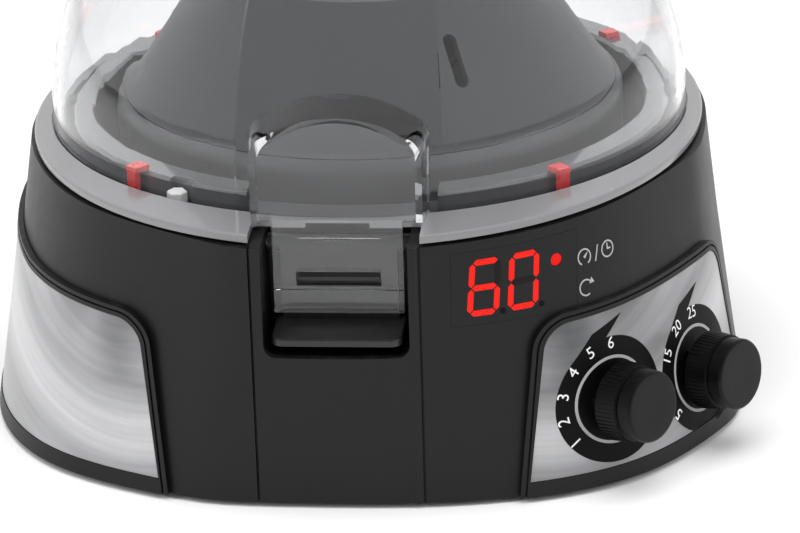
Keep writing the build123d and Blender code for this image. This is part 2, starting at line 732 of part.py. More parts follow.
dome_low = RIM_TOP - RIM_T
inner_dome = dome_solid(DOME_R - DOME_WALL, DOME_H - DOME_WALL, dome_low - 1)
with BuildPart() as lid_dome:
    add(dome_solid(DOME_R, DOME_H, dome_low))
    add(boss_solid(BOSS_FRONT, 0.0, RIM_TOP + 0.1))
    add(ring_solid(Plane(DOME_CENTRE + Vector(0, 0, dome_low)), FLANGE_R, 0, FLANGE_T))
    add(inner_dome, mode=Mode.SUBTRACT)
    add(boss_solid(BOSS_FRONT + BOSS_WALL, -BOSS_WALL, RIM_TOP + 0.1 - 5), mode=Mode.SUBTRACT)
    tongue_y = BOSS_FRONT + TONGUE_T / 2
    lip_y = BOSS_FRONT + TONGUE_T - LIP_T / 2
    add(bar(2 * TONGUE_HALF, TONGUE_T, RIM_TOP + 3 - TONGUE_FOOT, 0, tongue_y, TONGUE_FOOT))
    add(bar(2 * TONGUE_HALF, LIP_T, LIP_TOP - TONGUE_FOOT, 0, lip_y, TONGUE_FOOT))
    add(bar(20, 0.5, 0.8, 0, BOSS_FRONT, 65.3))
    add(bar(2 * WINDOW_HALF, 10, WINDOW_HIGH - WINDOW_LOW, 0, BOSS_FRONT, WINDOW_LOW), mode=Mode.SUBTRACT)
save("lid_dome", lid_dome.part)

# Lid hinge: arm on the rim, pin, screws and springs
arm_outline = [
    (83.2, RIM_TOP),
    (83.2, RIM_TOP + 1.8),
    (90.5, RIM_TOP + 1.8),
    (96.4, RIM_TOP - 1.0),
    (HINGE_Y + HINGE_BARREL_R, HINGE_Z),
    (HINGE_Y, HINGE_Z),
    (HINGE_Y - HINGE_BARREL_R + 0.1, HINGE_Z + 1.0),
    (90.0, RIM_TOP),
]
plate_outline = [*arm_outline[:3], (92.6, RIM_TOP + 0.8), (90.0, RIM_TOP)]
with BuildPart() as hinge_arm:
    add(side_extrusion(arm_outline, KNUCKLE_HALF))
    add(side_extrusion(plate_outline, ARM_HALF))
    add(ring_solid(cross_plane(-KNUCKLE_HALF, HINGE_Y, HINGE_Z), HINGE_BARREL_R, 0, 2 * KNUCKLE_HALF))
    add(
        ring_solid(cross_plane(-20, HINGE_Y, HINGE_Z), HINGE_PIN_R + 0.05, 0, 40),
        mode=Mode.SUBTRACT,
    )
    with Locations(Plane.XY.offset(RIM_TOP + 1.8)):
        with Locations((-9.5, 85.6), (9.5, 85.6)):
            CounterSinkHole(1.0, 1.9)
save("hinge_arm", hinge_arm.part)

hinge_screw_part = Part()
for x in (-9.5, 9.5):
    with BuildPart(Plane((x, 85.6, RIM_TOP + 1.75)), mode=Mode.PRIVATE) as screw:
        Cone(0.95, 1.8, 0.9, align=(Align.CENTER, Align.CENTER, Align.MAX))
        with Locations((0, 0, -0.9)):
            Cylinder(0.95, 0.85, align=(Align.CENTER, Align.CENTER, Align.MAX))
        with BuildSketch(Plane((x, 85.6, RIM_TOP + 1.75 - 0.4))):
            RegularPolygon(0.8, 6)
        extrude(amount=1, mode=Mode.SUBTRACT)
    hinge_screw_part += screw.part
save("hinge_screws", hinge_screw_part)
pin_start = cross_plane(-EAR_OUT, HINGE_Y, HINGE_Z)
save("hinge_pin", ring_solid(pin_start, HINGE_PIN_R - 0.02, 0, 2 * EAR_OUT))
right_spring = coil(cross_plane(KNUCKLE_HALF + 0.7, HINGE_Y, HINGE_Z), 2.3, 0.45, 1.1, 2.6)
left_spring = coil(cross_plane(-KNUCKLE_HALF - 3.6, HINGE_Y, HINGE_Z), 2.3, 0.45, 1.1, 2.6)
save("hinge_springs", right_spring + left_spring)

# Motor under the bowl, on a plate with rubber dampers
with BuildPart() as motor_body:
    add(
        revolved(
            [
                (DRIVE_R + 0.6, MOTOR_LOW),
                (MOTOR_R - 1.5, MOTOR_LOW),
                (MOTOR_R, MOTOR_LOW + 1.5),
                (MOTOR_R, MOTOR_HIGH),
                (DRIVE_R + 0.6, MOTOR_HIGH),
            ]
        )
    )
    for low in (MOTOR_LOW - 0.01, MOTOR_HIGH - 3.99):
        add(ring_solid(Plane.XY.offset(low), 6.5, 0, 4.0), mode=Mode.SUBTRACT)
save("motor_body", motor_body.part)

bearing_parts = Part()
for low in (MOTOR_LOW + 0.1, MOTOR_HIGH - 3.9):
    bearing_parts += ring_solid(Plane.XY.offset(low), 6.48, DRIVE_R + 0.04, 3.8)
save("motor_bearings", bearing_parts)

with BuildPart() as motor_plate:
    with BuildSketch(Plane.XY.offset(MOTOR_HIGH)):
        Circle(38)
        Circle(8, mode=Mode.SUBTRACT)
        with PolarLocations(32, 3, 30):
            Circle(SCREW_R + 0.1, mode=Mode.SUBTRACT)
        with PolarLocations(30, 3, 90):
            SlotCenterToCenter(8, 4, rotation=90, mode=Mode.SUBTRACT)
    extrude(amount=PLATE_HIGH - MOTOR_HIGH)
save("motor_plate", motor_plate.part)

damper_parts = Part()
motor_screw_parts = Part()
for i in range(3):
    angle = math.radians(30 + 120 * i)
    x, y = 32 * math.cos(angle), 32 * math.sin(angle)
    damper_parts += ring_solid(Plane((x, y, PLATE_HIGH)), 5.0, SCREW_R + 0.1, BOWL_UNDER - PLATE_HIGH)
    motor_screw_parts += ring_solid(Plane((x, y, MOTOR_HIGH)), SCREW_R - 0.02, 0, 7.2)
    motor_screw_parts += ring_solid(Plane((x, y, MOTOR_HIGH - 1.8)), 2.9, 0, 1.8)
save("motor_dampers", damper_parts)
save("motor_screws", motor_screw_parts)

# Rotor: shaft, hub, bell, head with tube sockets and nut
with BuildPart() as drive_shaft:
    add(ring_solid(Plane.XY.offset(MOTOR_LOW + 0.5), DRIVE_R, 0, 84))
    chamfer(faces().sort_by(Axis.Z)[-1].edges(), 0.4)
save("drive_shaft", drive_shaft.part)

hub_outline = [
    (DRIVE_R + 0.01, 60),
    (6.0, 60),
    (6.95, 71),
    (16, 71),
    (16, 74),
    (6.95, 74),
    (6.95, 84),
    (DRIVE_R + 0.01, 84),
]
save("rotor_hub", revolved(hub_outline))


def cone_radius(height):
    """Outer radius of the bell's cone at a height."""
    return CONE_TOP_R + CONE_SLOPE * (CONE_TOP_Z - height)


def cone_meets(offset, inset):
    """Point where a 45 degree line meets the cone moved in by inset."""
    radius = (CONE_TOP_R - inset + CONE_SLOPE * (CONE_TOP_Z - offset)) / (1 + CONE_SLOPE)
    return (radius, radius + offset)


shoulder_z = 72.4
cone_start_z = 77.6
with BuildPart() as rotor_bell:
    with BuildSketch(Plane.XZ):
        with BuildLine():
            Line((SKIRT_R, SKIRT_LOW), (SKIRT_R, shoulder_z))
            Spline(
                (SKIRT_R, shoulder_z),
                (cone_radius(cone_start_z), cone_start_z),
                tangents=[(0, 1), (-CONE_SLOPE, 1)],
            )
            Polyline(
                (cone_radius(cone_start_z), cone_start_z),
                (CONE_TOP_R, CONE_TOP_Z),
                (CONE_TOP_R - BELL_WALL_X - 0.4, CONE_TOP_Z),
                cone_meets(HEAD_UPPER, BELL_WALL_X),
                (cone_radius(cone_start_z - 1) - BELL_WALL_X, cone_start_z - 1),
            )
            Spline(
                (cone_radius(cone_start_z - 1) - BELL_WALL_X, cone_start_z - 1),
                (SKIRT_R - 2.4, shoulder_z - 1),
                tangents=[(CONE_SLOPE, -1), (0, -1)],
            )
            Polyline((SKIRT_R - 2.4, shoulder_z - 1), (SKIRT_R - 2.4, SKIRT_LOW), (SKIRT_R, SKIRT_LOW))
        make_face()
    revolve(axis=Axis.Z)
    groove_z = 76.0
    groove_r = cone_radius(groove_z) - 0.9
    cut_points = [(groove_r, groove_z - 0.1), (groove_r + 3, groove_z + 1.4), (groove_r + 3, groove_z + 0.6)]
    add(revolved(cut_points), mode=Mode.SUBTRACT)
    for slot_angle in (31.0, 211.0):
        facing = facing_plane((0, 0, 0), slot_angle)
        tilt = math.atan2(1.0, CONE_SLOPE)
        outward = facing.z_dir * math.sin(tilt) + Vector(0, 0, math.cos(tilt))
        spot = facing.z_dir * cone_radius(94.2) + Vector(0, 0, 94.2)
        with BuildSketch(Plane(origin=spot - outward * 4, x_dir=facing.x_dir, z_dir=outward)):
            SlotOverall(14.0, 3.5, rotation=90)
        extrude(amount=8, mode=Mode.SUBTRACT)
save("rotor_bell", rotor_bell.part)

upper_end = cone_meets(HEAD_UPPER, BELL_WALL_X)
lower_end = cone_meets(HEAD_LOWER, BELL_WALL_X)
with BuildPart() as rotor_head:
    add(
        revolved(
            [
                (7.0, 74.0),
                (74.0 - HEAD_LOWER, 74.0),
                lower_end,
                upper_end,
                (12.5, 12.5 + HEAD_UPPER),
                (7.0, 12.5 + HEAD_UPPER),
            ]
        )
    )
    for i in range(SOCKETS):
        facing = facing_plane((0, 0, 0), 60 * i + 1.0)
        up_axis = (Vector(0, 0, 1) - facing.z_dir) / math.sqrt(2)
        mouth = facing.z_dir * SOCKET_MOUTH_R + Vector(0, 0, SOCKET_MOUTH_R + HEAD_UPPER)
        socket = Plane(origin=mouth, x_dir=facing.x_dir, z_dir=up_axis)
        add(ring_solid(socket.offset(-0.8), 7.4, 0, 6), mode=Mode.SUBTRACT)
        add(ring_solid(socket.offset(-14.9), 7.4, 0, 6.8), mode=Mode.SUBTRACT)
        add(ring_solid(socket.offset(-14), SOCKET_R, 0, 20), mode=Mode.SUBTRACT)
save("rotor_head", rotor_head.part)

with BuildPart() as rotor_nut:
    add(
        revolved(
            [
                (DRIVE_R + 0.02, 84.2),
                (7.1, 84.2),
                (7.1, 82.15),
                (11.0, 82.15),
                (11.0, 84.4),
                (8.2, 85.6),
                (8.2, 97.0),
                (6.6, 98.6),
                (0, 99.2),
                (0, 92.8),
                (DRIVE_R + 0.02, 92.8),
            ]
        )
    )
    with BuildSketch(Plane.XY.offset(86.2)):
        with PolarLocations(8.4, 18):
            Circle(0.7)
    extrude(amount=14, mode=Mode.SUBTRACT)
save("rotor_nut", rotor_nut.part)

# Control knobs with their potentiometers, shafts and nuts
for name, plane in CONTROL_PLANES.items():
    with BuildPart() as potentiometer:
        add(ring_solid(plane.offset(-17), 8.0, 0, 9))
        add(ring_solid(plane.offset(-8.5), BUSH_R, 0, 10.9))
        add(ring_solid(plane.offset(-14), SHAFT_R + 0.06, 0, 20), mode=Mode.SUBTRACT)
    save(f"{name}_potentiometer", potentiometer.part)
    with BuildPart() as pot_nut:
        with BuildSketch(plane.offset(0.8)):
            RegularPolygon(6.2, 6)
            Circle(BUSH_R + 0.02, mode=Mode.SUBTRACT)
        extrude(amount=1.5)
    save(f"{name}_nut", pot_nut.part)
    save(f"{name}_shaft", ring_solid(plane.offset(-13.5), SHAFT_R, 0, 13 + KNOB_BORE))
    with BuildPart() as knob:
        with BuildSketch(plane.offset(KNOB_SKIRT_LOW)):
            Circle(KNOB_R)
        extrude(amount=KNOB_SKIRT_HIGH - KNOB_SKIRT_LOW, taper=2.6)
        with BuildSketch(plane.offset(KNOB_SKIRT_LOW - 0.1)):
            with PolarLocations(KNOB_R + 0.1, 36):
                Circle(0.5)
        extrude(amount=KNOB_SKIRT_HIGH - KNOB_SKIRT_LOW + 0.1, mode=Mode.SUBTRACT)
        with BuildSketch(plane.offset(KNOB_SKIRT_HIGH - 0.2)):
            Circle(KNOB_CAP_R)
        extrude(amount=KNOB_L - KNOB_SKIRT_HIGH + 0.2)
        rounding = [e for e in edges().filter_by(GeomType.CIRCLE) if abs(e.radius - KNOB_CAP_R) < 0.01]
        fillet(sorted(rounding, key=lambda e: plane.to_local_coords(e.center()).Z)[-1], 0.7)
        add(ring_solid(plane.offset(0), 7.6, 0, 4.0), mode=Mode.SUBTRACT)
        add(ring_solid(plane.offset(0), SHAFT_R + 0.01, 0, KNOB_BORE), mode=Mode.SUBTRACT)
    save(f"{name}_knob", knob.part)

# Base plate, feet and screws
with BuildPart() as base_plate:
    add(wall_block(BODY_FOOT + 0.2, 4.6, WALL + 0.3))
    for x, y in POST_PLACES:
        with BuildSketch(Plane((x, y, 0))):
            Circle(SCREW_R + 0.15)
        extrude(amount=8, mode=Mode.SUBTRACT)
        with BuildSketch(Plane((x, y, 0))):
            Circle(3.2)
        extrude(amount=3.4, mode=Mode.SUBTRACT)
    with BuildSketch(Plane.XY):
        with GridLocations(0, 6.0, 1, 7):
            SlotOverall(60, 2.6)
    extrude(amount=8, mode=Mode.SUBTRACT)
    for x, y in FOOT_PLACES:
        add(ring_solid(Plane((x, y, 0)), 2.1, 0, 8), mode=Mode.SUBTRACT)
save("base_plate", base_plate.part)

feet_parts = Part()
for x, y in FOOT_PLACES:
    with BuildPart(Plane((x, y, 0)), mode=Mode.PRIVATE) as foot:
        Cylinder(FOOT_R, BODY_FOOT + 0.2, align=(Align.CENTER, Align.CENTER, Align.MIN))
        fillet(edges().sort_by(Axis.Z)[0], 0.6)
        Cylinder(2.05, 5.6, align=(Align.CENTER, Align.CENTER, Align.MIN))
    feet_parts += foot.part
save("rubber_feet", feet_parts)

base_screw_parts = Part()
for x, y in POST_PLACES:
    base_screw_parts += ring_solid(Plane((x, y, 1.7)), 3.0, 1.0, 0.4)
    base_screw_parts += ring_solid(Plane((x, y, 2.1)), 3.0, 0, 1.25)
    base_screw_parts += ring_solid(Plane((x, y, 3.3)), SCREW_R - 0.02, 0, 10)
save("base_screws", base_screw_parts)

# Electronics
board_x, board_y, board_low = -60.0, -14.0, 9.0
with BuildPart() as control_board:
    add(bar(44, 62, 1.6, board_x, board_y, board_low))
    for dx, dy in ((-18, -27), (18, -27), (-18, 27), (18, 27)):
        add(ring_solid(Plane((board_x + dx, board_y + dy, 0)), SCREW_R, 0, 20), mode=Mode.SUBTRACT)
save("control_board", control_board.part)

standoffs = Part()
board_screws = Part()
for dx, dy in ((-18, -27), (18, -27), (-18, 27), (18, 27)):
    spot = Vector(board_x + dx, board_y + dy, 0)
    standoffs += ring_solid(Plane(spot + Vector(0, 0, 4.6)), 3.0, SCREW_R, board_low - 4.6)
    board_screws += ring_solid(Plane(spot + Vector(0, 0, 4.7)), SCREW_R - 0.02, 0, board_low - 3.0)
    board_screws += ring_solid(Plane(spot + Vector(0, 0, board_low + 1.6)), 2.7, 0, 1.6)
save("board_standoffs", standoffs)
save("board_screws", board_screws)

with BuildPart() as board_parts:
    add(bar(20, 16, 15, board_x + 6, board_y + 12, board_low + 1.6))
    add(bar(14, 14, 2.2, board_x - 6, board_y - 8, board_low + 1.6))
    for dx, dy in ((10, -14), (-2, -22), (-12, 10)):
        add(ring_solid(Plane((board_x + dx, board_y + dy, board_low + 1.6)), 4.0, 0, 12))
save("board_parts", board_parts.part)

# Rear: power inlet and rocker switch
with BuildPart() as power_inlet:
    add(ring_solid(INLET_PLANE.offset(-0.8), 8.0, 0, 2.2))
    add(ring_solid(INLET_PLANE.offset(-12), 5.5, 0, 11.4))
    add(ring_solid(INLET_PLANE.offset(-9), 3.0, 0, 12), mode=Mode.SUBTRACT)
    add(ring_solid(INLET_PLANE.offset(-10), 1.0, 0, 9.6))
save("power_inlet", power_inlet.part)

with BuildPart() as switch_frame:
    with BuildSketch(SWITCH_PLANE.offset(-0.9)):
        RectangleRounded(21.2, 15.2, 1.0)
    extrude(amount=2.4)
    with BuildSketch(SWITCH_PLANE.offset(-13)):
        Rectangle(19, 12.7)
    extrude(amount=12.3)
    with BuildSketch(SWITCH_PLANE.offset(-10)):
        Rectangle(16.6, 10.4)
    extrude(amount=20, mode=Mode.SUBTRACT)
save("switch_frame", switch_frame.part)

rocker_centre = SWITCH_PLANE.origin - SWITCH_PLANE.z_dir * ROCKER_DEPTH
rocker_side = Plane(origin=rocker_centre, x_dir=SWITCH_PLANE.x_dir, z_dir=-SWITCH_PLANE.y_dir)
with BuildPart() as switch_rocker:
    with BuildSketch(rocker_side.rotated((0, 0, ROCKER_REST))):
        with BuildLine():
            Polyline(*ROCKER_OUTLINE, close=True)
        make_face()
    extrude(amount=ROCKER_HALF, both=True)
    trunnion_start = rocker_side.offset(-ROCKER_HALF - 0.15)
    add(ring_solid(trunnion_start, TRUNNION_R, 0, 2 * ROCKER_HALF + 0.3))
save("switch_rocker", switch_rocker.part)
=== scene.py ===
"""Looks of the mini centrifuge: finishes, printed and lit details, light and camera."""

import json
import logging
import math
from dataclasses import dataclass, replace
from enum import Enum
from typing import Callable, Iterable, Optional, Sequence

import bmesh
import bpy
from bpy.types import Material, Mesh, Node, NodeOutputs, NodeSocket, NodeTree, Object
from mathutils import Matrix, Vector
from mathutils.bvhtree import BVHTree


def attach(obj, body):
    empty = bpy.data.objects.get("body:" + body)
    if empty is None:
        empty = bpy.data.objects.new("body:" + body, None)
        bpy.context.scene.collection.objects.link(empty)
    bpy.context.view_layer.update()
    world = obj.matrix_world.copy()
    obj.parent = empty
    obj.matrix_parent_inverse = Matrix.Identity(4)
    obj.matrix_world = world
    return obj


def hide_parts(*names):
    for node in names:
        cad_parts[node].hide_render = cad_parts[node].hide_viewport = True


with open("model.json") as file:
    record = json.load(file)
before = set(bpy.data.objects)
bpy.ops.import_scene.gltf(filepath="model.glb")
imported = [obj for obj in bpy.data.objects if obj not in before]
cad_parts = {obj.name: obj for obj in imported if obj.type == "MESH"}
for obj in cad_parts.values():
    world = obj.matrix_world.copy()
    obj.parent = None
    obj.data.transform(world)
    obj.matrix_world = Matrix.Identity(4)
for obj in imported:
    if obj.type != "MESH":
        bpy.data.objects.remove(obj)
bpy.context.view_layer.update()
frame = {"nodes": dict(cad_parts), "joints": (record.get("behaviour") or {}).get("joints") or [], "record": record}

LOG = logging.getLogger("centrifuge")
Color = tuple[float, float, float]
Point2 = tuple[float, float]

MM = 0.001
# Sockets of a Mix node that blends colours: factor, first and second colour, result
MIX_INPUTS = (0, 6, 7)
MIX_RESULT = 2
# Vertices nearer than this are joined
WELD = 1e-7
# Font size of a number that is one unit high
FONT_SHARE = 1.4


class Ink(Enum):
    """Colours of the printed and lit details."""

    BLACK = (0.003, 0.003, 0.003)
    WHITE = (0.85, 0.85, 0.85)
    GREY = (0.42, 0.42, 0.43)
    UNLIT = (0.012, 0.010, 0.010)


class Tree:
    """A node tree with short calls for its nodes and links."""

    def __init__(self, tree: NodeTree) -> None:
        """Wraps a tree.

        Args:
            tree: The shader or geometry tree to build in.
        """
        self.tree = tree

    def node(self, kind: str, inputs: Optional[dict] = None, **settings: object) -> Node:
        """Adds a node.

        Args:
            kind: Blender's name of the node type.
            inputs: Values or sockets by input name or number.
            settings: Properties of the node.

        Returns:
            The new node.
        """
        made = self.tree.nodes.new(kind)
        for name, value in settings.items():
            setattr(made, name, value)
        for key, value in (inputs or {}).items():
            if isinstance(value, NodeSocket):
                self.tree.links.new(value, made.inputs[key])
            else:
                made.inputs[key].default_value = value
        return made

    def math(self, operation: str, a: object, b: object = 0.0, clamp: bool = False) -> NodeSocket:
        """Adds a math node.

        Args:
            operation: The node's operation.
            a: First value or socket.
            b: Second value or socket.
            clamp: Whether the result is kept from 0 to 1.

        Returns:
            The node's output.
        """
        kind = "ShaderNodeMath"
        return self.node(kind, {0: a, 1: b}, operation=operation, use_clamp=clamp).outputs[0]

    def spread(
        self, value: object, low: float, high: float, to_low: float = 0.0, to_high: float = 1.0
    ) -> NodeSocket:
        """Maps a value from one range to another, clamped.

        Args:
            value: Socket to map.
            low: Start of its range.
            high: End of its range.
            to_low: Result at the start.
            to_high: Result at the end.

        Returns:
            The mapped value.
        """
        inputs = {"Value": value, "From Min": low, "From Max": high, "To Min": to_low, "To Max": to_high}
        return self.node("ShaderNodeMapRange", inputs).outputs["Result"]

    def finish(self, inputs: dict) -> None:
        """Ends a material in one shader.

        Args:
            inputs: Values or sockets by the shader's input names.
        """
        shader = self.node("ShaderNodeBsdfPrincipled", inputs)
        self.node("ShaderNodeOutputMaterial", {"Surface": shader.outputs[0]})

    def group(self, shared: NodeTree, inputs: Optional[dict] = None) -> NodeOutputs:
        """Adds a shared effect.

        Args:
            shared: The effect's tree.
            inputs: Values or sockets by input name.

        Returns:
            Its outputs.
        """
        return self.node("ShaderNodeGroup", inputs, node_tree=shared).outputs

    def noise(self, vector: object, scale: object, detail: float) -> NodeSocket:
        """Adds a noise texture.

        Args:
            vector: Socket of the place.
            scale: Waves for each metre of the place.
            detail: Layers of finer noise.

        Returns:
            The noise from 0 to 1.
        """
        inputs = {"Vector": vector, "Scale": scale, "Detail": detail}
        return self.node("ShaderNodeTexNoise", inputs).outputs["Fac"]

    def grey(self, value: NodeSocket) -> NodeSocket:
        """Makes a grey colour of a value.

        Args:
            value: Socket of its brightness.

        Returns:
            The colour.
        """
        return self.node("ShaderNodeCombineColor", {channel: value for channel in range(3)}).outputs[0]

    def mix(self, share: object, a: object, b: object, blend: str = "MIX") -> NodeSocket:
        """Mixes two colours.

        Args:
            share: How much of b is used.
            a: First colour.
            b: Second colour.
            blend: Blend mode.

        Returns:
            The mixed colour.
        """
        made = self.tree.nodes.new("ShaderNodeMix")
        made.data_type = "RGBA"
        made.blend_type = blend
        for number, value in zip(MIX_INPUTS, (share, a, b)):
            if isinstance(value, NodeSocket):
                self.tree.links.new(value, made.inputs[number])
            elif value is share:
                made.inputs[number].default_value = value
            else:
                made.inputs[number].default_value = (*value[:3], 1.0)
        return made.outputs[MIX_RESULT]


def start_material(name: str) -> tuple[Material, Tree]:
    """Makes an empty material.

    Args:
        name: Name of the material.

    Returns:
        The material and its empty tree.
    """
    material = bpy.data.materials.new(name)
    material.use_nodes = True
    material.node_tree.nodes.clear()
    return material, Tree(material.node_tree)


class ShaderGroup:
    """A shared shader effect with named inputs and outputs."""

    built: dict[str, NodeTree] = {}

    # Waves in a metre: broad shifts of tone, patches of gloss and dust specks
    BROAD = 22.0
    PATCHES = 160.0
    SPECKS = 420.0
    # Turn in radians and stretch along each axis of the two sets of hairlines
    HAIRLINES = ((0.5, (900.0, 26.0, 40.0)), (-0.9, (30.0, 800.0, 34.0)))
    # Waves in a metre across the label's soft bands of painted highlight and across its streaks
    SOFT_BANDS = 46.0
    FINE_STREAKS = 520.0
    # Grain of the noise that is a hairline and that is a speck, and how level a dusty face is
    HAIRLINE_FADE = (0.70, 0.78)
    SPECK_FADE = (0.50, 0.72)
    LEVEL_FADE = (0.6, 1.0)
    # Painted light that lightens the left label, and share of the soft bands in the painted highlight
    LEFT_PAINTED_LIGHT = 0.18
    WAVE_SHARE = 0.5
    # Distances from the label's arc at which its painted highlight is brightest and where it ends
    ARC_CORE = 1.0 * MM
    ARC_END = 15.0 * MM
    ARC_LIGHT = 0.95

    @classmethod
    def tree(
        cls, name: str, inputs: dict[str, float], outputs: Sequence[str], fill: Callable
    ) -> NodeTree:
        """Builds a group once and returns it.

        Args:
            name: Name of the group.
            inputs: Default value of each input.
            outputs: Names of the outputs, all plain values.
            fill: Called with the Tree and the input node; returns a socket for each output.

        Returns:
            The group's tree.
        """
        if name not in cls.built:
            group = bpy.data.node_groups.new(name, "ShaderNodeTree")
            for key, value in inputs.items():
                socket = group.interface.new_socket(key, in_out="INPUT", socket_type="NodeSocketFloat")
                socket.default_value = value
            for key in outputs:
                group.interface.new_socket(key, in_out="OUTPUT", socket_type="NodeSocketFloat")
            tree = Tree(group)
            entry = tree.node("NodeGroupInput")
            results = fill(tree, entry)
            tree.node("NodeGroupOutput", dict(zip(outputs, results)))
            cls.built[name] = group
        return cls.built[name]

    @staticmethod
    def fill_moulded(tree: Tree, entry: Node) -> Iterable[NodeSocket]:
        """Fills the group for moulded plastic.

        Args:
            tree: The group's tree.
            entry: Its input node.

        Returns:
            Height of the grain, tone and gloss shift.
        """
        place = tree.node("ShaderNodeTexCoord").outputs["Object"]
        scale = tree.math("DIVIDE", 1.0, entry.outputs["Grain Size"])
        fine = tree.noise(place, scale, 3.0)
        broad = tree.noise(place, ShaderGroup.BROAD, 2.0)
        patch = tree.noise(place, ShaderGroup.PATCHES, 4.0)
        tone_range = tree.math("MULTIPLY", tree.math("SUBTRACT", broad, 0.5), entry.outputs["Tone Range"])
        gloss = tree.math("MULTIPLY", tree.math("SUBTRACT", patch, 0.5), entry.outputs["Gloss Range"])
        return fine, tree.math("ADD", tone_range, 1.0), gloss

    @staticmethod
    def fill_rubbing(tree: Tree, entry: Node) -> Iterable[NodeSocket]:
        """Fills the group for fine rubbing marks and dust.

        Args:
            tree: The group's tree.
            entry: Its input node.

        Returns:
            Mask of hairline marks and mask of dust on level faces.
        """
        place = tree.node("ShaderNodeTexCoord").outputs["Object"]
        marks = None
        for turn, stretch in ShaderGroup.HAIRLINES:
            inputs = {"Vector": place, "Rotation": (turn, turn, turn), "Scale": stretch}
            turned = tree.node("ShaderNodeMapping", inputs).outputs[0]
            mark = tree.spread(tree.noise(turned, 1.0, 1.0), *ShaderGroup.HAIRLINE_FADE)
            marks = mark if marks is None else tree.math("MAXIMUM", marks, mark)
        normal = tree.node("ShaderNodeNewGeometry").outputs["Normal"]
        up = tree.node("ShaderNodeSeparateXYZ", {0: normal}).outputs[2]
        flat = tree.spread(up, *ShaderGroup.LEVEL_FADE)
        specks = tree.noise(place, ShaderGroup.SPECKS, 6.0)
        dust = tree.math("MULTIPLY", flat, tree.spread(specks, *ShaderGroup.SPECK_FADE))
        return (
            tree.math("MULTIPLY", marks, entry.outputs["Marks"]),
            tree.math("MULTIPLY", dust, entry.outputs["Dust"]),
        )

    @staticmethod
    def fill_painted_sweep(tree: Tree, entry: Node) -> Iterable[NodeSocket]:
        """Fills the group for the painted sweeping highlight of the label film.

        Args:
            tree: The group's tree.
            entry: Its input node.

        Returns:
            Brightness of the painted highlight band and fine streaks.
        """
        place = tree.node("ShaderNodeTexCoord").outputs["Object"]
        parts = tree.node("ShaderNodeSeparateXYZ", {0: place})
        across = tree.math("SUBTRACT", tree.math("ABSOLUTE", parts.outputs[0]), entry.outputs["Centre X"])
        height = tree.math("SUBTRACT", parts.outputs[2], entry.outputs["Centre Z"])
        squares = tree.math("ADD", tree.math("POWER", across, 2.0), tree.math("POWER", height, 2.0))
        reach = tree.math("SQRT", squares)
        turn = tree.math("ARCTAN2", height, across)
        soft_reach = tree.math("MULTIPLY", reach, ShaderGroup.SOFT_BANDS)
        flow = tree.node("ShaderNodeCombineXYZ", {0: soft_reach, 1: turn, 2: 0.0}).outputs[0]
        soft = tree.spread(tree.noise(flow, 1.0, 1.5), 0.34, 0.66)
        # Painted highlight, brightest along an arc round the centre and fading away from it
        off_arc = tree.math("ABSOLUTE", tree.math("SUBTRACT", reach, entry.outputs["Radius"]))
        arc = tree.spread(off_arc, ShaderGroup.ARC_CORE, ShaderGroup.ARC_END, ShaderGroup.ARC_LIGHT, 0.0)
        # Painted light: the whole left label is made lighter
        on_left = tree.math("LESS_THAN", parts.outputs[0], 0.0)
        left = tree.math("MULTIPLY", on_left, ShaderGroup.LEFT_PAINTED_LIGHT)
        waves = tree.math("MULTIPLY", soft, ShaderGroup.WAVE_SHARE)
        bands = tree.math("ADD", tree.math("MAXIMUM", arc, waves), left, clamp=True)
        fine_reach = tree.math("MULTIPLY", reach, ShaderGroup.FINE_STREAKS)
        thin = tree.node("ShaderNodeCombineXYZ", {0: fine_reach, 1: turn, 2: 3.0}).outputs[0]
        return bands, tree.noise(thin, 1.0, 3.0)

    @staticmethod
    def fill_roof_shade(tree: Tree, entry: Node) -> Iterable[NodeSocket]:
        """Fills the group for the painted shade on the roof of the dome's front boss.

        Args:
            tree: The group's tree.
            entry: Its input node.

        Returns:
            Mask of the roof's level faces, where shade is painted.
        """
        coordinates = tree.node("ShaderNodeTexCoord").outputs
        place = tree.node("ShaderNodeSeparateXYZ", {0: coordinates["Object"]}).outputs
        facing = tree.node("ShaderNodeSeparateXYZ", {0: coordinates["Normal"]}).outputs
        level = tree.spread(tree.math("ABSOLUTE", facing[2]), 0.40, 0.52)
        near = tree.math("LESS_THAN", tree.math("ABSOLUTE", place[0]), entry.outputs["Half Width"])
        front = tree.math("LESS_THAN", place[1], entry.outputs["Back"])
        low = tree.math("LESS_THAN", place[2], entry.outputs["Top"])
        high = tree.math("GREATER_THAN", place[2], entry.outputs["Foot"])
        inside = tree.math("MULTIPLY", tree.math("MULTIPLY", near, front), tree.math("MULTIPLY", low, high))
        return (tree.math("MULTIPLY", level, inside),)


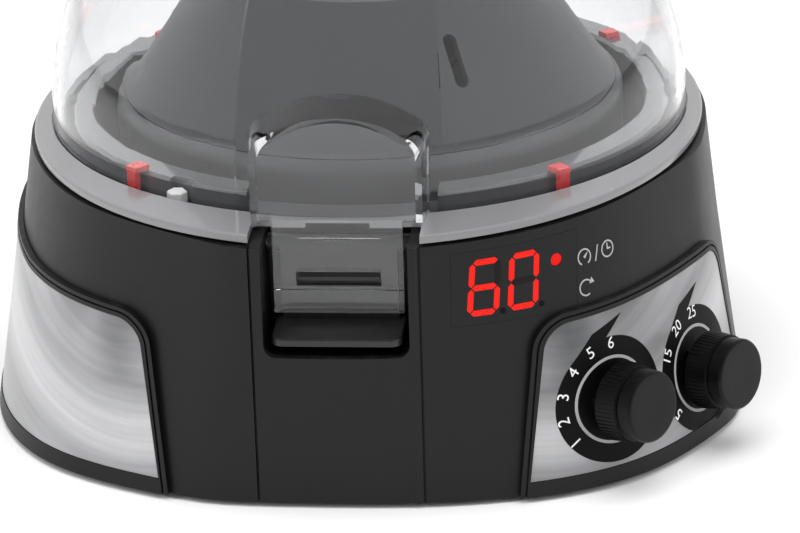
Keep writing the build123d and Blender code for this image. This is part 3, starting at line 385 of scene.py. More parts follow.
@dataclass(frozen=True)
class MouldedFinish:
    """Moulded plastic or rubber, from matt to polished."""

    name: str
    color: Color
    roughness: float
    grain_mm: float = 0.35
    grain_height_mm: float = 0.004
    coat: float = 0.0
    marks: float = 0.3
    dust: float = 0.15
    tone_range: float = 0.12
    specular: float = 0.5

    # Share of the colour that shows through dust, brightness of the dust, and added roughness of marks
    DUST_KEEP = 0.75
    DUST_TONE = 0.07
    MARK_ROUGHNESS = 0.12

    def build(self) -> Material:
        """Returns the finish as a Blender material."""
        material, tree = start_material(self.name)
        surface = {"Grain Size": self.grain_mm * MM, "Tone Range": self.tone_range}
        moulded = tree.group(moulded_group(), surface)
        rubbing = tree.group(rubbing_group(), {"Marks": self.marks, "Dust": self.dust})
        base = tree.mix(1.0, self.color, tree.grey(moulded["Tone"]), "MULTIPLY")
        dusty = tuple(self.DUST_KEEP * channel + self.DUST_TONE for channel in self.color)
        rough = tree.math("ADD", moulded["Gloss Shift"], self.roughness)
        marked = tree.math("MULTIPLY", rubbing["Marks"], self.MARK_ROUGHNESS)
        relief = {"Height": moulded["Grain"], "Strength": 1.0, "Distance": self.grain_height_mm * MM}
        inputs = {
            "Base Color": tree.mix(rubbing["Dust"], base, dusty),
            "Roughness": tree.math("ADD", rough, marked, clamp=True),
            "Normal": tree.node("ShaderNodeBump", relief).outputs["Normal"],
            "Specular IOR Level": self.specular,
            "Coat Weight": self.coat,
            "Coat Roughness": 0.06,
        }
        tree.finish(inputs)
        return material


@dataclass(frozen=True)
class MetalFinish:
    """Plated, turned or brushed metal."""

    name: str
    color: Color
    roughness: float
    grain_mm: float = 0.08

    def build(self) -> Material:
        """Returns the finish as a Blender material."""
        material, tree = start_material(self.name)
        moulded = tree.group(moulded_group(), {"Grain Size": self.grain_mm * MM})
        rubbing = tree.group(rubbing_group(), {"Marks": 0.6})
        rough = tree.math("ADD", moulded["Gloss Shift"], self.roughness)
        rough = tree.math("ADD", rough, tree.math("MULTIPLY", rubbing["Marks"], 0.15), clamp=True)
        base = tree.mix(1.0, self.color, tree.grey(moulded["Tone"]), "MULTIPLY")
        inputs = {"Base Color": base, "Roughness": rough, "Metallic": 1.0}
        tree.finish(inputs)
        return material


@dataclass(frozen=True)
class ClearFinish:
    """Polished clear plastic that lets light through to what it covers."""

    name: str
    color: Color
    roughness: float = 0.02
    ior: float = 1.5
    # Colour of the painted shade on the boss roof, and the weaker shine there
    roof_shade_color: Color = (0.012, 0.012, 0.014)
    shine: float = 0.5
    roof_shine: float = 0.03

    def build(self) -> Material:
        """Returns the finish as a Blender material."""
        material, tree = start_material(self.name)
        rubbing = tree.group(rubbing_group(), {"Marks": 0.5, "Dust": 0.0})
        rough = tree.math("ADD", tree.math("MULTIPLY", rubbing["Marks"], 0.05), self.roughness)
        # Painted shade: the level roof faces of the front boss turn dark and lose most of their shine
        roof_shade_mask = tree.group(roof_shade_group())["Roof"]
        tint_and_roof_shade = tree.mix(roof_shade_mask, self.color, self.roof_shade_color)
        inputs = {
            "Roughness": rough,
            "Base Color": tint_and_roof_shade,
            "Specular IOR Level": tree.spread(roof_shade_mask, 0.0, 1.0, self.shine, self.roof_shine),
            "Transmission Weight": 1.0,
            "IOR": self.ior,
        }
        shader = tree.node("ShaderNodeBsdfPrincipled", inputs)
        clear = tree.node("ShaderNodeBsdfTransparent", {"Color": tint_and_roof_shade})
        rays = tree.node("ShaderNodeLightPath")
        through = tree.math("MAXIMUM", rays.outputs["Is Shadow Ray"], rays.outputs["Is Diffuse Ray"])
        mixed = tree.node("ShaderNodeMixShader", {0: through, 1: shader.outputs[0], 2: clear.outputs[0]})
        tree.node("ShaderNodeOutputMaterial", {"Surface": mixed.outputs[0]})
        return material


@dataclass(frozen=True)
class LitFinish:
    """A glowing display segment or lamp under red plastic."""

    name: str
    color: Color
    strength: float

    def build(self) -> Material:
        """Returns the finish as a Blender material."""
        material, tree = start_material(self.name)
        moulded = tree.group(moulded_group(), {"Grain Size": 0.2 * MM, "Tone Range": 0.25})
        inputs = {
            "Emission Color": tree.mix(1.0, self.color, tree.grey(moulded["Tone"]), "MULTIPLY"),
            "Emission Strength": self.strength,
            "Base Color": (0.02, 0.0, 0.0, 1.0),
            "Specular IOR Level": 0.1,
            "Roughness": 0.4,
        }
        tree.finish(inputs)
        return material


@dataclass(frozen=True)
class LabelFinish:
    """Silver film with soft sweeping bands of painted highlight."""

    name: str
    # Colour of the film between the bands, and colour of the painted highlight in them
    dark: Color = (0.075, 0.077, 0.08)
    light: Color = (0.50, 0.50, 0.51)
    centre_x: float = 56 * MM
    centre_z: float = 58 * MM
    radius: float = 43 * MM

    def build(self) -> Material:
        """Returns the finish as a Blender material."""
        material, tree = start_material(self.name)
        place = {"Centre X": self.centre_x, "Centre Z": self.centre_z, "Radius": self.radius}
        sweep = tree.group(painted_sweep_group(), place)
        streak = tree.grey(tree.spread(sweep["Streaks"], 0.3, 0.7, 0.86, 1.10))
        # Painted highlight: the bands mix the film from its dark colour to its light one
        film = tree.mix(sweep["Bands"], self.dark, self.light)
        inputs = {
            "Base Color": tree.mix(1.0, film, streak, "MULTIPLY"),
            "Roughness": tree.spread(sweep["Streaks"], 0.3, 0.7, 0.30, 0.42),
            "Metallic": 0.2,
            "Coat Weight": 0.15,
        }
        tree.finish(inputs)
        return material


def moulded_group() -> NodeTree:
    """Returns the group for moulded plastic."""
    inputs = {"Grain Size": 0.4 * MM, "Tone Range": 0.12, "Gloss Range": 0.10}
    outputs = ("Grain", "Tone", "Gloss Shift")
    return ShaderGroup.tree("MouldedSurface", inputs, outputs, ShaderGroup.fill_moulded)


def rubbing_group() -> NodeTree:
    """Returns the group for rubbing marks and dust."""
    inputs = {"Marks": 0.3, "Dust": 0.1}
    return ShaderGroup.tree("RubbingAndDust", inputs, ("Marks", "Dust"), ShaderGroup.fill_rubbing)


def painted_sweep_group() -> NodeTree:
    """Returns the group for the label's painted highlight bands."""
    inputs = {"Centre X": 50 * MM, "Centre Z": 60 * MM, "Radius": 40 * MM}
    return ShaderGroup.tree("PaintedSweepHighlight", inputs, ("Bands", "Streaks"), ShaderGroup.fill_painted_sweep)


def roof_shade_group() -> NodeTree:
    """Returns the group for the painted shade on the roof of the dome's front boss."""
    inputs = {"Half Width": 26.2 * MM, "Back": -60 * MM, "Top": 97.5 * MM, "Foot": 74 * MM}
    return ShaderGroup.tree("BossRoofPaintedShade", inputs, ("Roof",), ShaderGroup.fill_roof_shade)


class Finishes:
    """All finishes of the object, by the record's slot and by their own names."""

    def __init__(self) -> None:
        """Builds the materials of every slot and of the added details."""
        plastic = MouldedFinish
        slots = {
            "body_plastic": plastic(
                "CharcoalHousing", (0.0084, 0.0084, 0.0088), 0.42, 0.3, 0.004, specular=0.22
            ),
            "silver_label": LabelFinish("SilverLabel"),
            "smoked_window": plastic("SmokedWindow", (0.008, 0.008, 0.0084), 0.42, 0.4, 0.001, specular=0.22),
            "red_led": LitFinish("RedLamp", (0.95, 0.012, 0.010), 0.9),
            "black_plastic": plastic("BlackPlastic", (0.003, 0.003, 0.003), 0.40, 0.25, 0.005, specular=0.18),
            "latch_plastic": plastic(
                "LatchPlastic", (0.014, 0.014, 0.015), 0.34, 0.3, 0.002, coat=0.05, specular=0.4
            ),
            "steel": MetalFinish("PlatedSteel", (0.56, 0.56, 0.57), 0.30),
            "chamber_plastic": plastic(
                "ChamberPlastic", (0.027, 0.0275, 0.029), 0.24, 0.6, 0.001, coat=0.35, dust=0.02
            ),
            "red_plastic": plastic("RedClip", (0.72, 0.020, 0.022), 0.28, 0.3, 0.002, coat=0.4),
            "white_plastic": plastic("WhitePlastic", (0.72, 0.72, 0.70), 0.32, 0.3, 0.002),
            "motor_can": MetalFinish("MotorCan", (0.50, 0.50, 0.52), 0.34),
            "rubber": plastic("BlackRubber", (0.016, 0.016, 0.016), 0.68, 0.25, 0.01, dust=0.4),
            "board": plastic("CircuitBoard", (0.015, 0.12, 0.055), 0.35, 0.6, 0.003),
            "clear_plastic": ClearFinish("ClearDome", (0.93, 0.935, 0.945)),
            "rim_plastic": plastic("RimPlastic", (0.20, 0.20, 0.205), 0.22, 0.6, 0.001, coat=0.4),
            "rotor_plastic": plastic("RotorPlastic", (0.040, 0.041, 0.042), 0.40, 0.5, 0.001),
            "hub_metal": MetalFinish("TurnedHub", (0.60, 0.60, 0.62), 0.24),
        }
        self.by_slot = {slot: finish.build() for slot, finish in slots.items()}
        collar = plastic("CollarPlastic", (0.068, 0.069, 0.072), 0.12, 0.6, 0.001, coat=1.0, dust=0.0)
        self.by_node = {"collar_ring": collar.build()}
        self.lit = LitFinish("DigitRed", (1.0, 0.020, 0.012), 1.0).build()
        self.prints = {}
        for ink in Ink:
            name = f"Print{ink.name.title()}"
            finish = plastic(name, ink.value, 0.5, 0.2, 0.001, marks=0.1, dust=0.0, specular=0.1)
            self.prints[ink] = finish.build()

    def dress_frame(self) -> None:
        """Gives every CAD node the finish of its slot in the record."""
        slots = {row["node"]: row["material_slot"] for row in frame["record"]["subparts"]}
        for node, piece in frame["nodes"].items():
            material = self.by_node.get(node, self.by_slot[slots[node]])
            piece.data.materials.clear()
            piece.data.materials.append(material)
            LOG.info("finish %s on %s", material.name, node)


def new_piece(name: str, mesh: Mesh, material: Material, body: str) -> Object:
    """Makes a mesh a piece of the object.

    Args:
        name: Name of the piece.
        mesh: Its mesh, in the row frame.
        material: Its finish.
        body: The body that it rides on.

    Returns:
        The new object.
    """
    mesh.name = name
    mesh.materials.clear()
    mesh.materials.append(material)
    piece = bpy.data.objects.new(name, mesh)
    bpy.context.scene.collection.objects.link(piece)
    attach(piece, body)
    LOG.info("piece %s rides on %s", name, body)
    return piece


def as_mesh(work: bmesh.types.BMesh, name: str) -> Mesh:
    """Writes an edited mesh to a new one.

    Args:
        work: The edited mesh; freed here.
        name: Name of the new mesh.

    Returns:
        The new mesh.
    """
    mesh = bpy.data.meshes.new(name)
    work.to_mesh(mesh)
    work.free()
    return mesh


@dataclass
class Printer:
    """Lays flat outlines on the surface of CAD nodes as thin ink or film."""

    nodes: tuple[str, ...]
    origin: Vector
    across: Vector
    outward: Vector
    lift: float = 0.03 * MM
    thickness: float = 0.05 * MM
    step: float = 2.0 * MM
    reach: float = 30 * MM

    def __post_init__(self) -> None:
        """Collects the surfaces that the outlines are laid on."""
        vertices: list[Vector] = []
        polygons: list[tuple[int, ...]] = []
        for name in self.nodes:
            mesh = frame["nodes"][name].data
            start = len(vertices)
            vertices += [v.co.copy() for v in mesh.vertices]
            polygons += [tuple(start + i for i in p.vertices) for p in mesh.polygons]
        self.surface = BVHTree.FromPolygons(vertices, polygons)
        self.up = self.outward.cross(self.across)

    def lay(self, flat: Point2, lift: float) -> Vector:
        """Returns a flat point laid on the surface and lifted off it.

        Args:
            flat: The point in the printer's plane, in metres.
            lift: Height above the surface.

        Returns:
            The point in the row frame.
        """
        start = self.origin + self.across * flat[0] + self.up * flat[1] + self.outward * self.reach
        hit = self.surface.ray_cast(start, -self.outward)[0]
        if hit is None:
            hit = start - self.outward * self.reach
        return hit + self.outward * lift

    def sheet(self, outlines: Sequence[Sequence[Point2]]) -> Mesh:
        """Makes thin plates from flat outlines.

        Args:
            outlines: Closed outlines in the printer's plane, in metres.

        Returns:
            One mesh with all plates laid on the surface.
        """
        plates = bmesh.new()
        for outline in outlines:
            corners = [plates.verts.new((x, y, 0.0)) for x, y in outline]
            plates.faces.new(corners)
        bmesh.ops.remove_doubles(plates, verts=plates.verts[:], dist=WELD)
        return self.finish(plates)

    def finish(self, plates: bmesh.types.BMesh) -> Mesh:
        """Cuts flat plates small enough to bend, lays them on the surface and thickens them.

        Args:
            plates: Flat faces in the printer's plane; freed here.

        Returns:
            The finished mesh.
        """
        bmesh.ops.triangulate(plates, faces=plates.faces[:])
        bmesh.ops.recalc_face_normals(plates, faces=plates.faces[:])
        reversed_faces = [f for f in plates.faces if f.normal.z < 0]
        bmesh.ops.reverse_faces(plates, faces=reversed_faces)
        for axis in (0, 1):
            values = [v.co[axis] for v in plates.verts]
            first = math.ceil(min(values) / self.step)
            last = math.floor(max(values) / self.step)
            for index in range(first, last + 1):
                place, normal = Vector(), Vector()
                place[axis] = index * self.step
                normal[axis] = 1.0
                everything = plates.verts[:] + plates.edges[:] + plates.faces[:]
                bmesh.ops.bisect_plane(plates, geom=everything, plane_co=place, plane_no=normal, dist=WELD)
        top = {v: self.lay((v.co.x, v.co.y), self.lift + self.thickness) for v in plates.verts}
        low = {v: self.lay((v.co.x, v.co.y), self.lift) for v in plates.verts}
        solid = bmesh.new()
        upper = {v: solid.verts.new(p) for v, p in top.items()}
        under = {v: solid.verts.new(p) for v, p in low.items()}
        for face in plates.faces:
            ring = list(face.verts)
            solid.faces.new([upper[v] for v in ring])
            solid.faces.new([under[v] for v in reversed(ring)])
        for edge in plates.edges:
            if edge.is_boundary:
                loop = edge.link_loops[0]
                a, b = loop.vert, loop.link_loop_next.vert
                solid.faces.new([upper[b], upper[a], under[a], under[b]])
        plates.free()
        return as_mesh(solid, "print")


def arc_points(
    radius: float, start: float, end: float, steps: int, centre: Point2 = (0.0, 0.0)
) -> list[Point2]:
    """Points on an arc.

    Args:
        radius: Radius in metres.
        start: First angle in degrees.
        end: Last angle in degrees.
        steps: Number of pieces.
        centre: Centre of the arc.

    Returns:
        The points, both ends included.
    """
    angles = [math.radians(start + (end - start) * i / steps) for i in range(steps + 1)]
    return [(centre[0] + radius * math.cos(a), centre[1] + radius * math.sin(a)) for a in angles]


def in_mm(*points: Point2) -> list[Point2]:
    """Returns points given in millimetres as metres."""
    return [(x * MM, y * MM) for x, y in points]


def band(
    radius: float, width: float, start: float, end: float, steps: int = 48, centre: Point2 = (0.0, 0.0)
) -> list[list[Point2]]:
    """Outlines of the pieces of a curved band.

    Args:
        radius: Middle radius in metres.
        width: Width of the band.
        start: First angle in degrees.
        end: Last angle in degrees.
        steps: Number of pieces.
        centre: Centre of the band.

    Returns:
        A closed outline for each piece.
    """
    outer = arc_points(radius + width / 2, start, end, steps, centre)
    inner = arc_points(radius - width / 2, start, end, steps, centre)
    return [[outer[i], outer[i + 1], inner[i + 1], inner[i]] for i in range(steps)]


@dataclass
class Display:
    """Two red digits, the points beside them and the mode marks on the wall."""

    digit_h: float = 14.0 * MM
    digit_w: float = 8.0 * MM
    stroke: float = 1.45 * MM
    gap: float = 0.22 * MM
    slant: float = 0.09
    digit_az: tuple[float, float] = (20.5, 26.3)
    middle_z: float = 55.6 * MM
    point_r: float = 0.75 * MM
    point_shift: float = 0.4 * MM
    wall_r: float = 95 * MM
    mode_az: float = 36.4
    mode_z: float = 57.4 * MM
    turn_az: float = 36.2
    turn_z: float = 50.0 * MM
    mark_r: float = 1.9 * MM
    mark_w: float = 0.35 * MM

    SEGMENTS = {"6": "acdefg", "0": "abcdef"}
    WALL = ("housing", "display_window")

    # Outlines of the marks in millimetres from the middle of the gauge
    POINTER = ((0.2, -0.4), (1.25, 1.2), (-0.35, 0.1))
    SLASH = ((3.2, -1.9), (3.55, -1.9), (4.65, 1.9), (4.3, 1.9))
    CLOCK_X = 7.6 * MM
    HANDS = ((7.42, -0.15), (8.6, -0.15), (8.6, 0.2), (7.77, 0.2), (7.77, 1.4), (7.42, 1.4))
    ARROW_HEAD = ((1.1, 0.7), (2.6, 0.9), (1.8, 2.2))

    def printer(self, azimuth: float, height: float, nodes: tuple[str, ...]) -> Printer:
        """Returns a printer that faces the wall at an azimuth.

        Args:
            azimuth: Degrees from the front, positive to the right.
            height: Height above the bench in metres.
            nodes: CAD nodes that take the print.

        Returns:
            The printer.
        """
        a = math.radians(azimuth)
        outward = Vector((math.sin(a), -math.cos(a), 0.0))
        across = Vector((math.cos(a), math.sin(a), 0.0))
        return Printer(nodes, outward * self.wall_r + Vector((0, 0, height)), across, outward)

    def stroke_outline(self, a: Point2, b: Point2) -> list[Point2]:
        """Outline of one segment with pointed ends.

        Args:
            a: One end of its middle line.
            b: The other end.

        Returns:
            The closed outline.
        """
        length = math.dist(a, b)
        ux, uy = (b[0] - a[0]) / length, (b[1] - a[1]) / length
        half = self.stroke / 2
        points = []
        for along, side in (
            (self.gap, 0),
            (self.gap + half, -half),
            (length - self.gap - half, -half),
            (length - self.gap, 0),
            (length - self.gap - half, half),
            (self.gap + half, half),
        ):
            points.append((a[0] + ux * along - uy * side, a[1] + uy * along + ux * side))
        return points

    def segments(self, digit: str, lit: bool) -> list[list[Point2]]:
        """Outlines of the lit or unlit segments of a digit.

        Args:
            digit: The digit shown.
            lit: Whether the lit ones are wanted.

        Returns:
            Closed outlines, slanted as the display's digits are.
        """
        w, h = self.digit_w / 2 - self.stroke / 2, self.digit_h / 2 - self.stroke / 2
        lines = {
            "a": ((-w, h), (w, h)),
            "b": ((w, h), (w, 0)),
            "c": ((w, 0), (w, -h)),
            "d": ((w, -h), (-w, -h)),
            "e": ((-w, -h), (-w, 0)),
            "f": ((-w, 0), (-w, h)),
            "g": ((-w, 0), (w, 0)),
        }
        chosen = [ends for key, ends in lines.items() if (key in self.SEGMENTS[digit]) == lit]
        outlines = [self.stroke_outline(*ends) for ends in chosen]
        return [[(x + y * self.slant, y) for x, y in outline] for outline in outlines]

    def build(self, finishes: Finishes) -> None:
        """Builds the digits, points and marks.

        Args:
            finishes: The finishes of the object.
        """
        for digit, azimuth in zip("60", self.digit_az):
            printer = self.printer(azimuth, self.middle_z, ("display_window",))
            new_piece(f"digit_{digit}", printer.sheet(self.segments(digit, True)), finishes.lit, "base")
            unlit = printer.sheet(self.segments(digit, False))
            new_piece(f"digit_{digit}_unlit", unlit, finishes.prints[Ink.UNLIT], "base")
            corner = (self.digit_w / 2 + self.point_shift, -self.digit_h / 2 + self.point_shift)
            point = arc_points(self.point_r, 0, 345, 23, corner)
            new_piece(f"digit_{digit}_point", printer.sheet([point]), finishes.prints[Ink.BLACK], "base")
        self.marks(finishes)

    def marks(self, finishes: Finishes) -> None:
        """Builds the plain signs for turning speed and for time.

        Args:
            finishes: The finishes of the object.
        """
        dial = self.printer(self.mode_az, self.mode_z, self.WALL)
        gauge = band(self.mark_r, self.mark_w, -60, 240, 40)
        clock = band(self.mark_r, self.mark_w, 0, 360, 48, (self.CLOCK_X, 0.0))
        outlines = [*gauge, in_mm(*self.POINTER), in_mm(*self.SLASH), *clock, in_mm(*self.HANDS)]
        new_piece("mode_marks", dial.sheet(outlines), finishes.prints[Ink.GREY], "base")
        turn = self.printer(self.turn_az, self.turn_z, self.WALL)
        arrow = band(self.mark_r, self.mark_w, 30, 300, 40)
        outlines = [*arrow, in_mm(*self.ARROW_HEAD)]
        new_piece("speed_mark", turn.sheet(outlines), finishes.prints[Ink.GREY], "base")


@dataclass
class ControlKnob:
    """A ribbed knob, its printed dial and the numbers round it."""

    name: str
    numbers: tuple[str, ...]
    dial_r: float = 15.6 * MM
    ring_r: float = 10.5 * MM
    ring_w: float = 0.75 * MM
    number_r: float = 13.9 * MM
    number_h: float = 3.0 * MM
    skirt_low: float = 1.9 * MM
    skirt_high: float = 8.0 * MM
    skirt_foot_r: float = 9.55 * MM
    skirt_top_r: float = 9.0 * MM
    cap_r: float = 8.8 * MM
    length: float = 12.4 * MM
    ribs: int = 56
    rib_w: float = 0.52 * MM
    rib_h: float = 0.42 * MM
    rib_start: float = 0.4 * MM
    sharp_angle: float = 35
    groove: float = 0.35 * MM
    chamfer: float = 0.3 * MM
    step: float = 0.15 * MM
    dish: float = 0.10 * MM
    round_r: float = 0.9 * MM
    sides: int = 128
    print_lift: float = 0.09 * MM
    print_thickness: float = 0.02 * MM

    # Angles in degrees, counted from across the knob: dial, ring and numbers
    DIAL_ARC = (128, 450)
    RING_ARC = (40, 320)
    FIRST_NUMBER = 215
    NUMBER_SWEEP = 130
    # Points of the dial's arrow, in dial radii
    ARROW = ((0.37, 1.30), (-0.25, 1.12))

    def __post_init__(self) -> None:
        """Reads the knob's place from its joint."""
        joint = next(j for j in frame["joints"] if j["name"] == f"{self.name}_turn")
        self.origin = Vector(joint["pos_m"])
        self.outward = Vector(joint["axis"]).normalized()
        self.across = Vector((-self.outward.y, self.outward.x, 0.0)).normalized()
        self.up = self.outward.cross(self.across)
        self.body = joint["child"]

    def placed(self) -> Matrix:
        """Returns the knob's own frame: X across, Y up, Z outwards."""
        turn = Matrix((self.across, self.up, self.outward)).transposed().to_4x4()
        return Matrix.Translation(self.origin) @ turn

    def profile(self) -> list[Point2]:
        """Returns radius and height of the knob's outline, from its foot to the middle of its cap."""
        neck_r = self.cap_r - self.groove
        rounded = self.cap_r - self.round_r
        points = [
            (0.0, self.skirt_low),
            (self.skirt_foot_r - self.chamfer, self.skirt_low),
            (self.skirt_foot_r, self.skirt_low + self.chamfer),
            (self.skirt_top_r + self.step, self.skirt_high - self.chamfer),
            (self.skirt_top_r - self.step, self.skirt_high),
            (neck_r, self.skirt_high + 0.1 * MM),
            (neck_r, self.skirt_high + 0.55 * MM),
            (self.cap_r, self.skirt_high + 0.8 * MM),
            (self.cap_r, self.length - self.round_r),
        ]
        points += arc_points(self.round_r, 10, 90, 8, (rounded, self.length - self.round_r))
        points += [(self.cap_r / 2, self.length - 0.6 * self.dish), (0.0, self.length - self.dish)]
        return points

    def turned(self) -> Mesh:
        """Returns the plain turned body of the knob, closed at both poles."""
        sides = self.sides
        circle = arc_points(1.0, 0, 360 - 360 / sides, sides - 1)
        made = bmesh.new()
        rings = []
        for radius, height in self.profile():
            if radius == 0.0:
                rings.append([made.verts.new((0, 0, height))])
            else:
                rings.append([made.verts.new((radius * x, radius * y, height)) for x, y in circle])
        for low, high in zip(rings, rings[1:]):
            for i in range(sides):
                j = (i + 1) % sides
                if len(low) == 1:
                    made.faces.new([low[0], high[j], high[i]])
                elif len(high) == 1:
                    made.faces.new([low[i], low[j], high[0]])
                else:
                    made.faces.new([low[i], low[j], high[j], high[i]])
        for face in made.faces:
            face.smooth = True
        made.transform(self.placed())
        return as_mesh(made, "turned")

    def build(self, finishes: Finishes) -> None:
        """Builds the knob, its ribs and its printed dial.

        Args:
            finishes: The finishes of the object.
        """
        black = finishes.by_slot["black_plastic"]
        knob = new_piece(f"{self.name}_knob_body", self.turned(), black, self.body)
        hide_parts(f"{self.name}_knob")
        smooth_by_angle(knob, self.sharp_angle)
        low, high = self.skirt_low + self.rib_start, self.skirt_high
        ribs = RibCrown(self.ribs, self.rib_w, self.rib_h, low, high, self.skirt_foot_r, self.skirt_top_r)
        mesh = ribs.mesh(black)
        mesh.transform(self.placed())
        new_piece(f"{self.name}_knob_ribs", mesh, black, self.body)
        self.dial(finishes)

    def dial(self, finishes: Finishes) -> None:
        """Prints the dial on the label.

        Args:
            finishes: The finishes of the object.
        """
        printer = Printer(("right_label",), self.origin, self.across, self.outward)
        disc = arc_points(self.dial_r, *self.DIAL_ARC, 90)
        arrow = [(x * self.dial_r, y * self.dial_r) for x, y in self.ARROW]
        new_piece(f"{self.name}_dial", printer.sheet([disc + arrow]), finishes.prints[Ink.BLACK], "base")
        over = replace(printer, lift=self.print_lift, thickness=self.print_thickness)
        ring = band(self.ring_r, self.ring_w, *self.RING_ARC, 72)
        new_piece(f"{self.name}_ring", over.sheet(ring), finishes.prints[Ink.GREY], "base")
        count = len(self.numbers)
        for index, number in enumerate(self.numbers):
            angle = self.FIRST_NUMBER - self.NUMBER_SWEEP * index / (count - 1)
            mesh = number_mesh(number, self.number_h, angle, self.number_r, over)
            new_piece(f"{self.name}_number_{index + 1}", mesh, finishes.prints[Ink.WHITE], "base")


def number_mesh(text: str, height: float, angle: float, radius: float, printer: Printer) -> Mesh:
    """Makes a number that stands on a circle of the dial.

    Args:
        text: The number.
        height: Its height in metres.
        angle: Where it stands, in degrees.
        radius: Radius of the circle through its middle.
        printer: The printer that lays it on the label.

    Returns:
        The laid mesh.
    """
    curve = bpy.data.curves.new("number", "FONT")
    curve.body = text
    curve.size = height * FONT_SHARE
    curve.align_x = "CENTER"
    curve.align_y = "CENTER"
    curve.resolution_u = 3
    writer = bpy.data.objects.new("number", curve)
    bpy.context.scene.collection.objects.link(writer)
    bpy.context.view_layer.update()
    flat = bpy.data.meshes.new_from_object(writer.evaluated_get(bpy.context.evaluated_depsgraph_get()))
    bpy.data.objects.remove(writer)
    a = math.radians(angle)
    turn = Matrix.Rotation(a - math.pi / 2, 4, "Z")
    flat.transform(Matrix.Translation((radius * math.cos(a), radius * math.sin(a), 0)) @ turn)
    plates = bmesh.new()
    plates.from_mesh(flat)
    bmesh.ops.remove_doubles(plates, verts=plates.verts[:], dist=WELD)
    return printer.finish(plates)


@dataclass
class RibCrown:
    """Fine ribs round a tapered skirt, made with Geometry Nodes."""

    count: int
    width: float
    height: float
    low: float
    high: float
    foot_r: float
    top_r: float

    def tree(self, material: Material) -> tuple[NodeTree, dict]:
        """Builds the node tree.

        Args:
            material: Finish of the ribs.

        Returns:
            The tree and the identifier and value of each input.
        """
        group = bpy.data.node_groups.new("RibCrown", "GeometryNodeTree")
        values = {
            "Rib Width": self.width,
            "Rib Depth": self.height,
            "Rib Length": self.high - self.low,
            "Skirt Radius": (self.foot_r + self.top_r) / 2,
            "Lean": math.atan2(self.foot_r - self.top_r, self.high - self.low),
            "Middle Height": (self.low + self.high) / 2,
        }
        group.interface.new_socket("Ribs", in_out="INPUT", socket_type="NodeSocketInt")
        for key in values:
            group.interface.new_socket(key, in_out="INPUT", socket_type="NodeSocketFloat")
        group.interface.new_socket("Geometry", in_out="OUTPUT", socket_type="NodeSocketGeometry")
        tree = Tree(group)
        entry = tree.node("NodeGroupInput").outputs
        inputs = {"Vertices": entry["Ribs"], "Radius": entry["Skirt Radius"]}
        circle = tree.node("GeometryNodeMeshCircle", inputs)
        lift = tree.node("ShaderNodeCombineXYZ", {2: entry["Middle Height"]}).outputs[0]
        raised = tree.node("GeometryNodeTransform", {"Geometry": circle.outputs[0], "Translation": lift})
        sizes = {axis: entry[key] for axis, key in enumerate(("Rib Depth", "Rib Width", "Rib Length"))}
        size = tree.node("ShaderNodeCombineXYZ", sizes)
        rib = tree.node("GeometryNodeMeshCube", {"Size": size.outputs[0]})
        step = tree.math("DIVIDE", 2 * math.pi, entry["Ribs"])
        index = tree.node("GeometryNodeInputIndex").outputs[0]
        around = tree.math("MULTIPLY", index, step)
        tilt = tree.math("MULTIPLY", entry["Lean"], -1.0)
        euler = tree.node("ShaderNodeCombineXYZ", {1: tilt, 2: around}).outputs[0]
        turn = tree.node("FunctionNodeEulerToRotation", {0: euler}).outputs[0]
        inputs = {"Points": raised.outputs[0], "Instance": rib.outputs[0], "Rotation": turn}
        placed = tree.node("GeometryNodeInstanceOnPoints", inputs)
        real = tree.node("GeometryNodeRealizeInstances", {0: placed.outputs[0]})
        finished = tree.node("GeometryNodeSetMaterial", {"Geometry": real.outputs[0], "Material": material})
        tree.node("NodeGroupOutput", {0: finished.outputs[0]})
        found = {item.name: item.identifier for item in group.interface.items_tree if item.in_out == "INPUT"}
        return group, {found["Ribs"]: self.count} | {found[key]: value for key, value in values.items()}

    def mesh(self, material: Material) -> Mesh:
        """Makes the ribs as a plain mesh round the Z axis.

        Args:
            material: Finish of the ribs.

        Returns:
            The mesh.
        """
        return evaluated_mesh(*self.tree(material))


def evaluated_mesh(group: NodeTree, values: dict) -> Mesh:
    """Runs a Geometry Nodes tree and returns what it makes.

    Args:
        group: The tree.
        values: Value of each input by its identifier.

    Returns:
        A plain mesh.
    """
    holder = bpy.data.objects.new("holder", bpy.data.meshes.new("holder"))
    bpy.context.scene.collection.objects.link(holder)
    modifier = holder.modifiers.new("nodes", "NODES")
    modifier.node_group = group
    for identifier, value in values.items():
        modifier[identifier] = value
    holder.update_tag()
    bpy.context.view_layer.update()
    mesh = bpy.data.meshes.new_from_object(holder.evaluated_get(bpy.context.evaluated_depsgraph_get()))
    bpy.data.objects.remove(holder)
    return mesh


def smooth_by_angle(piece: Object, degrees: float) -> None:
    """Shades a piece smooth except at sharp edges.

    Args:
        piece: The piece.
        degrees: Angle above which an edge stays sharp.
    """
    mesh = piece.data
    work = bmesh.new()
    work.from_mesh(mesh)
    for face in work.faces:
        face.smooth = True
    limit = math.radians(degrees)
    for edge in work.edges:
        edge.smooth = len(edge.link_faces) == 2 and edge.calc_face_angle(0.0) < limit
    work.to_mesh(mesh)
    work.free()


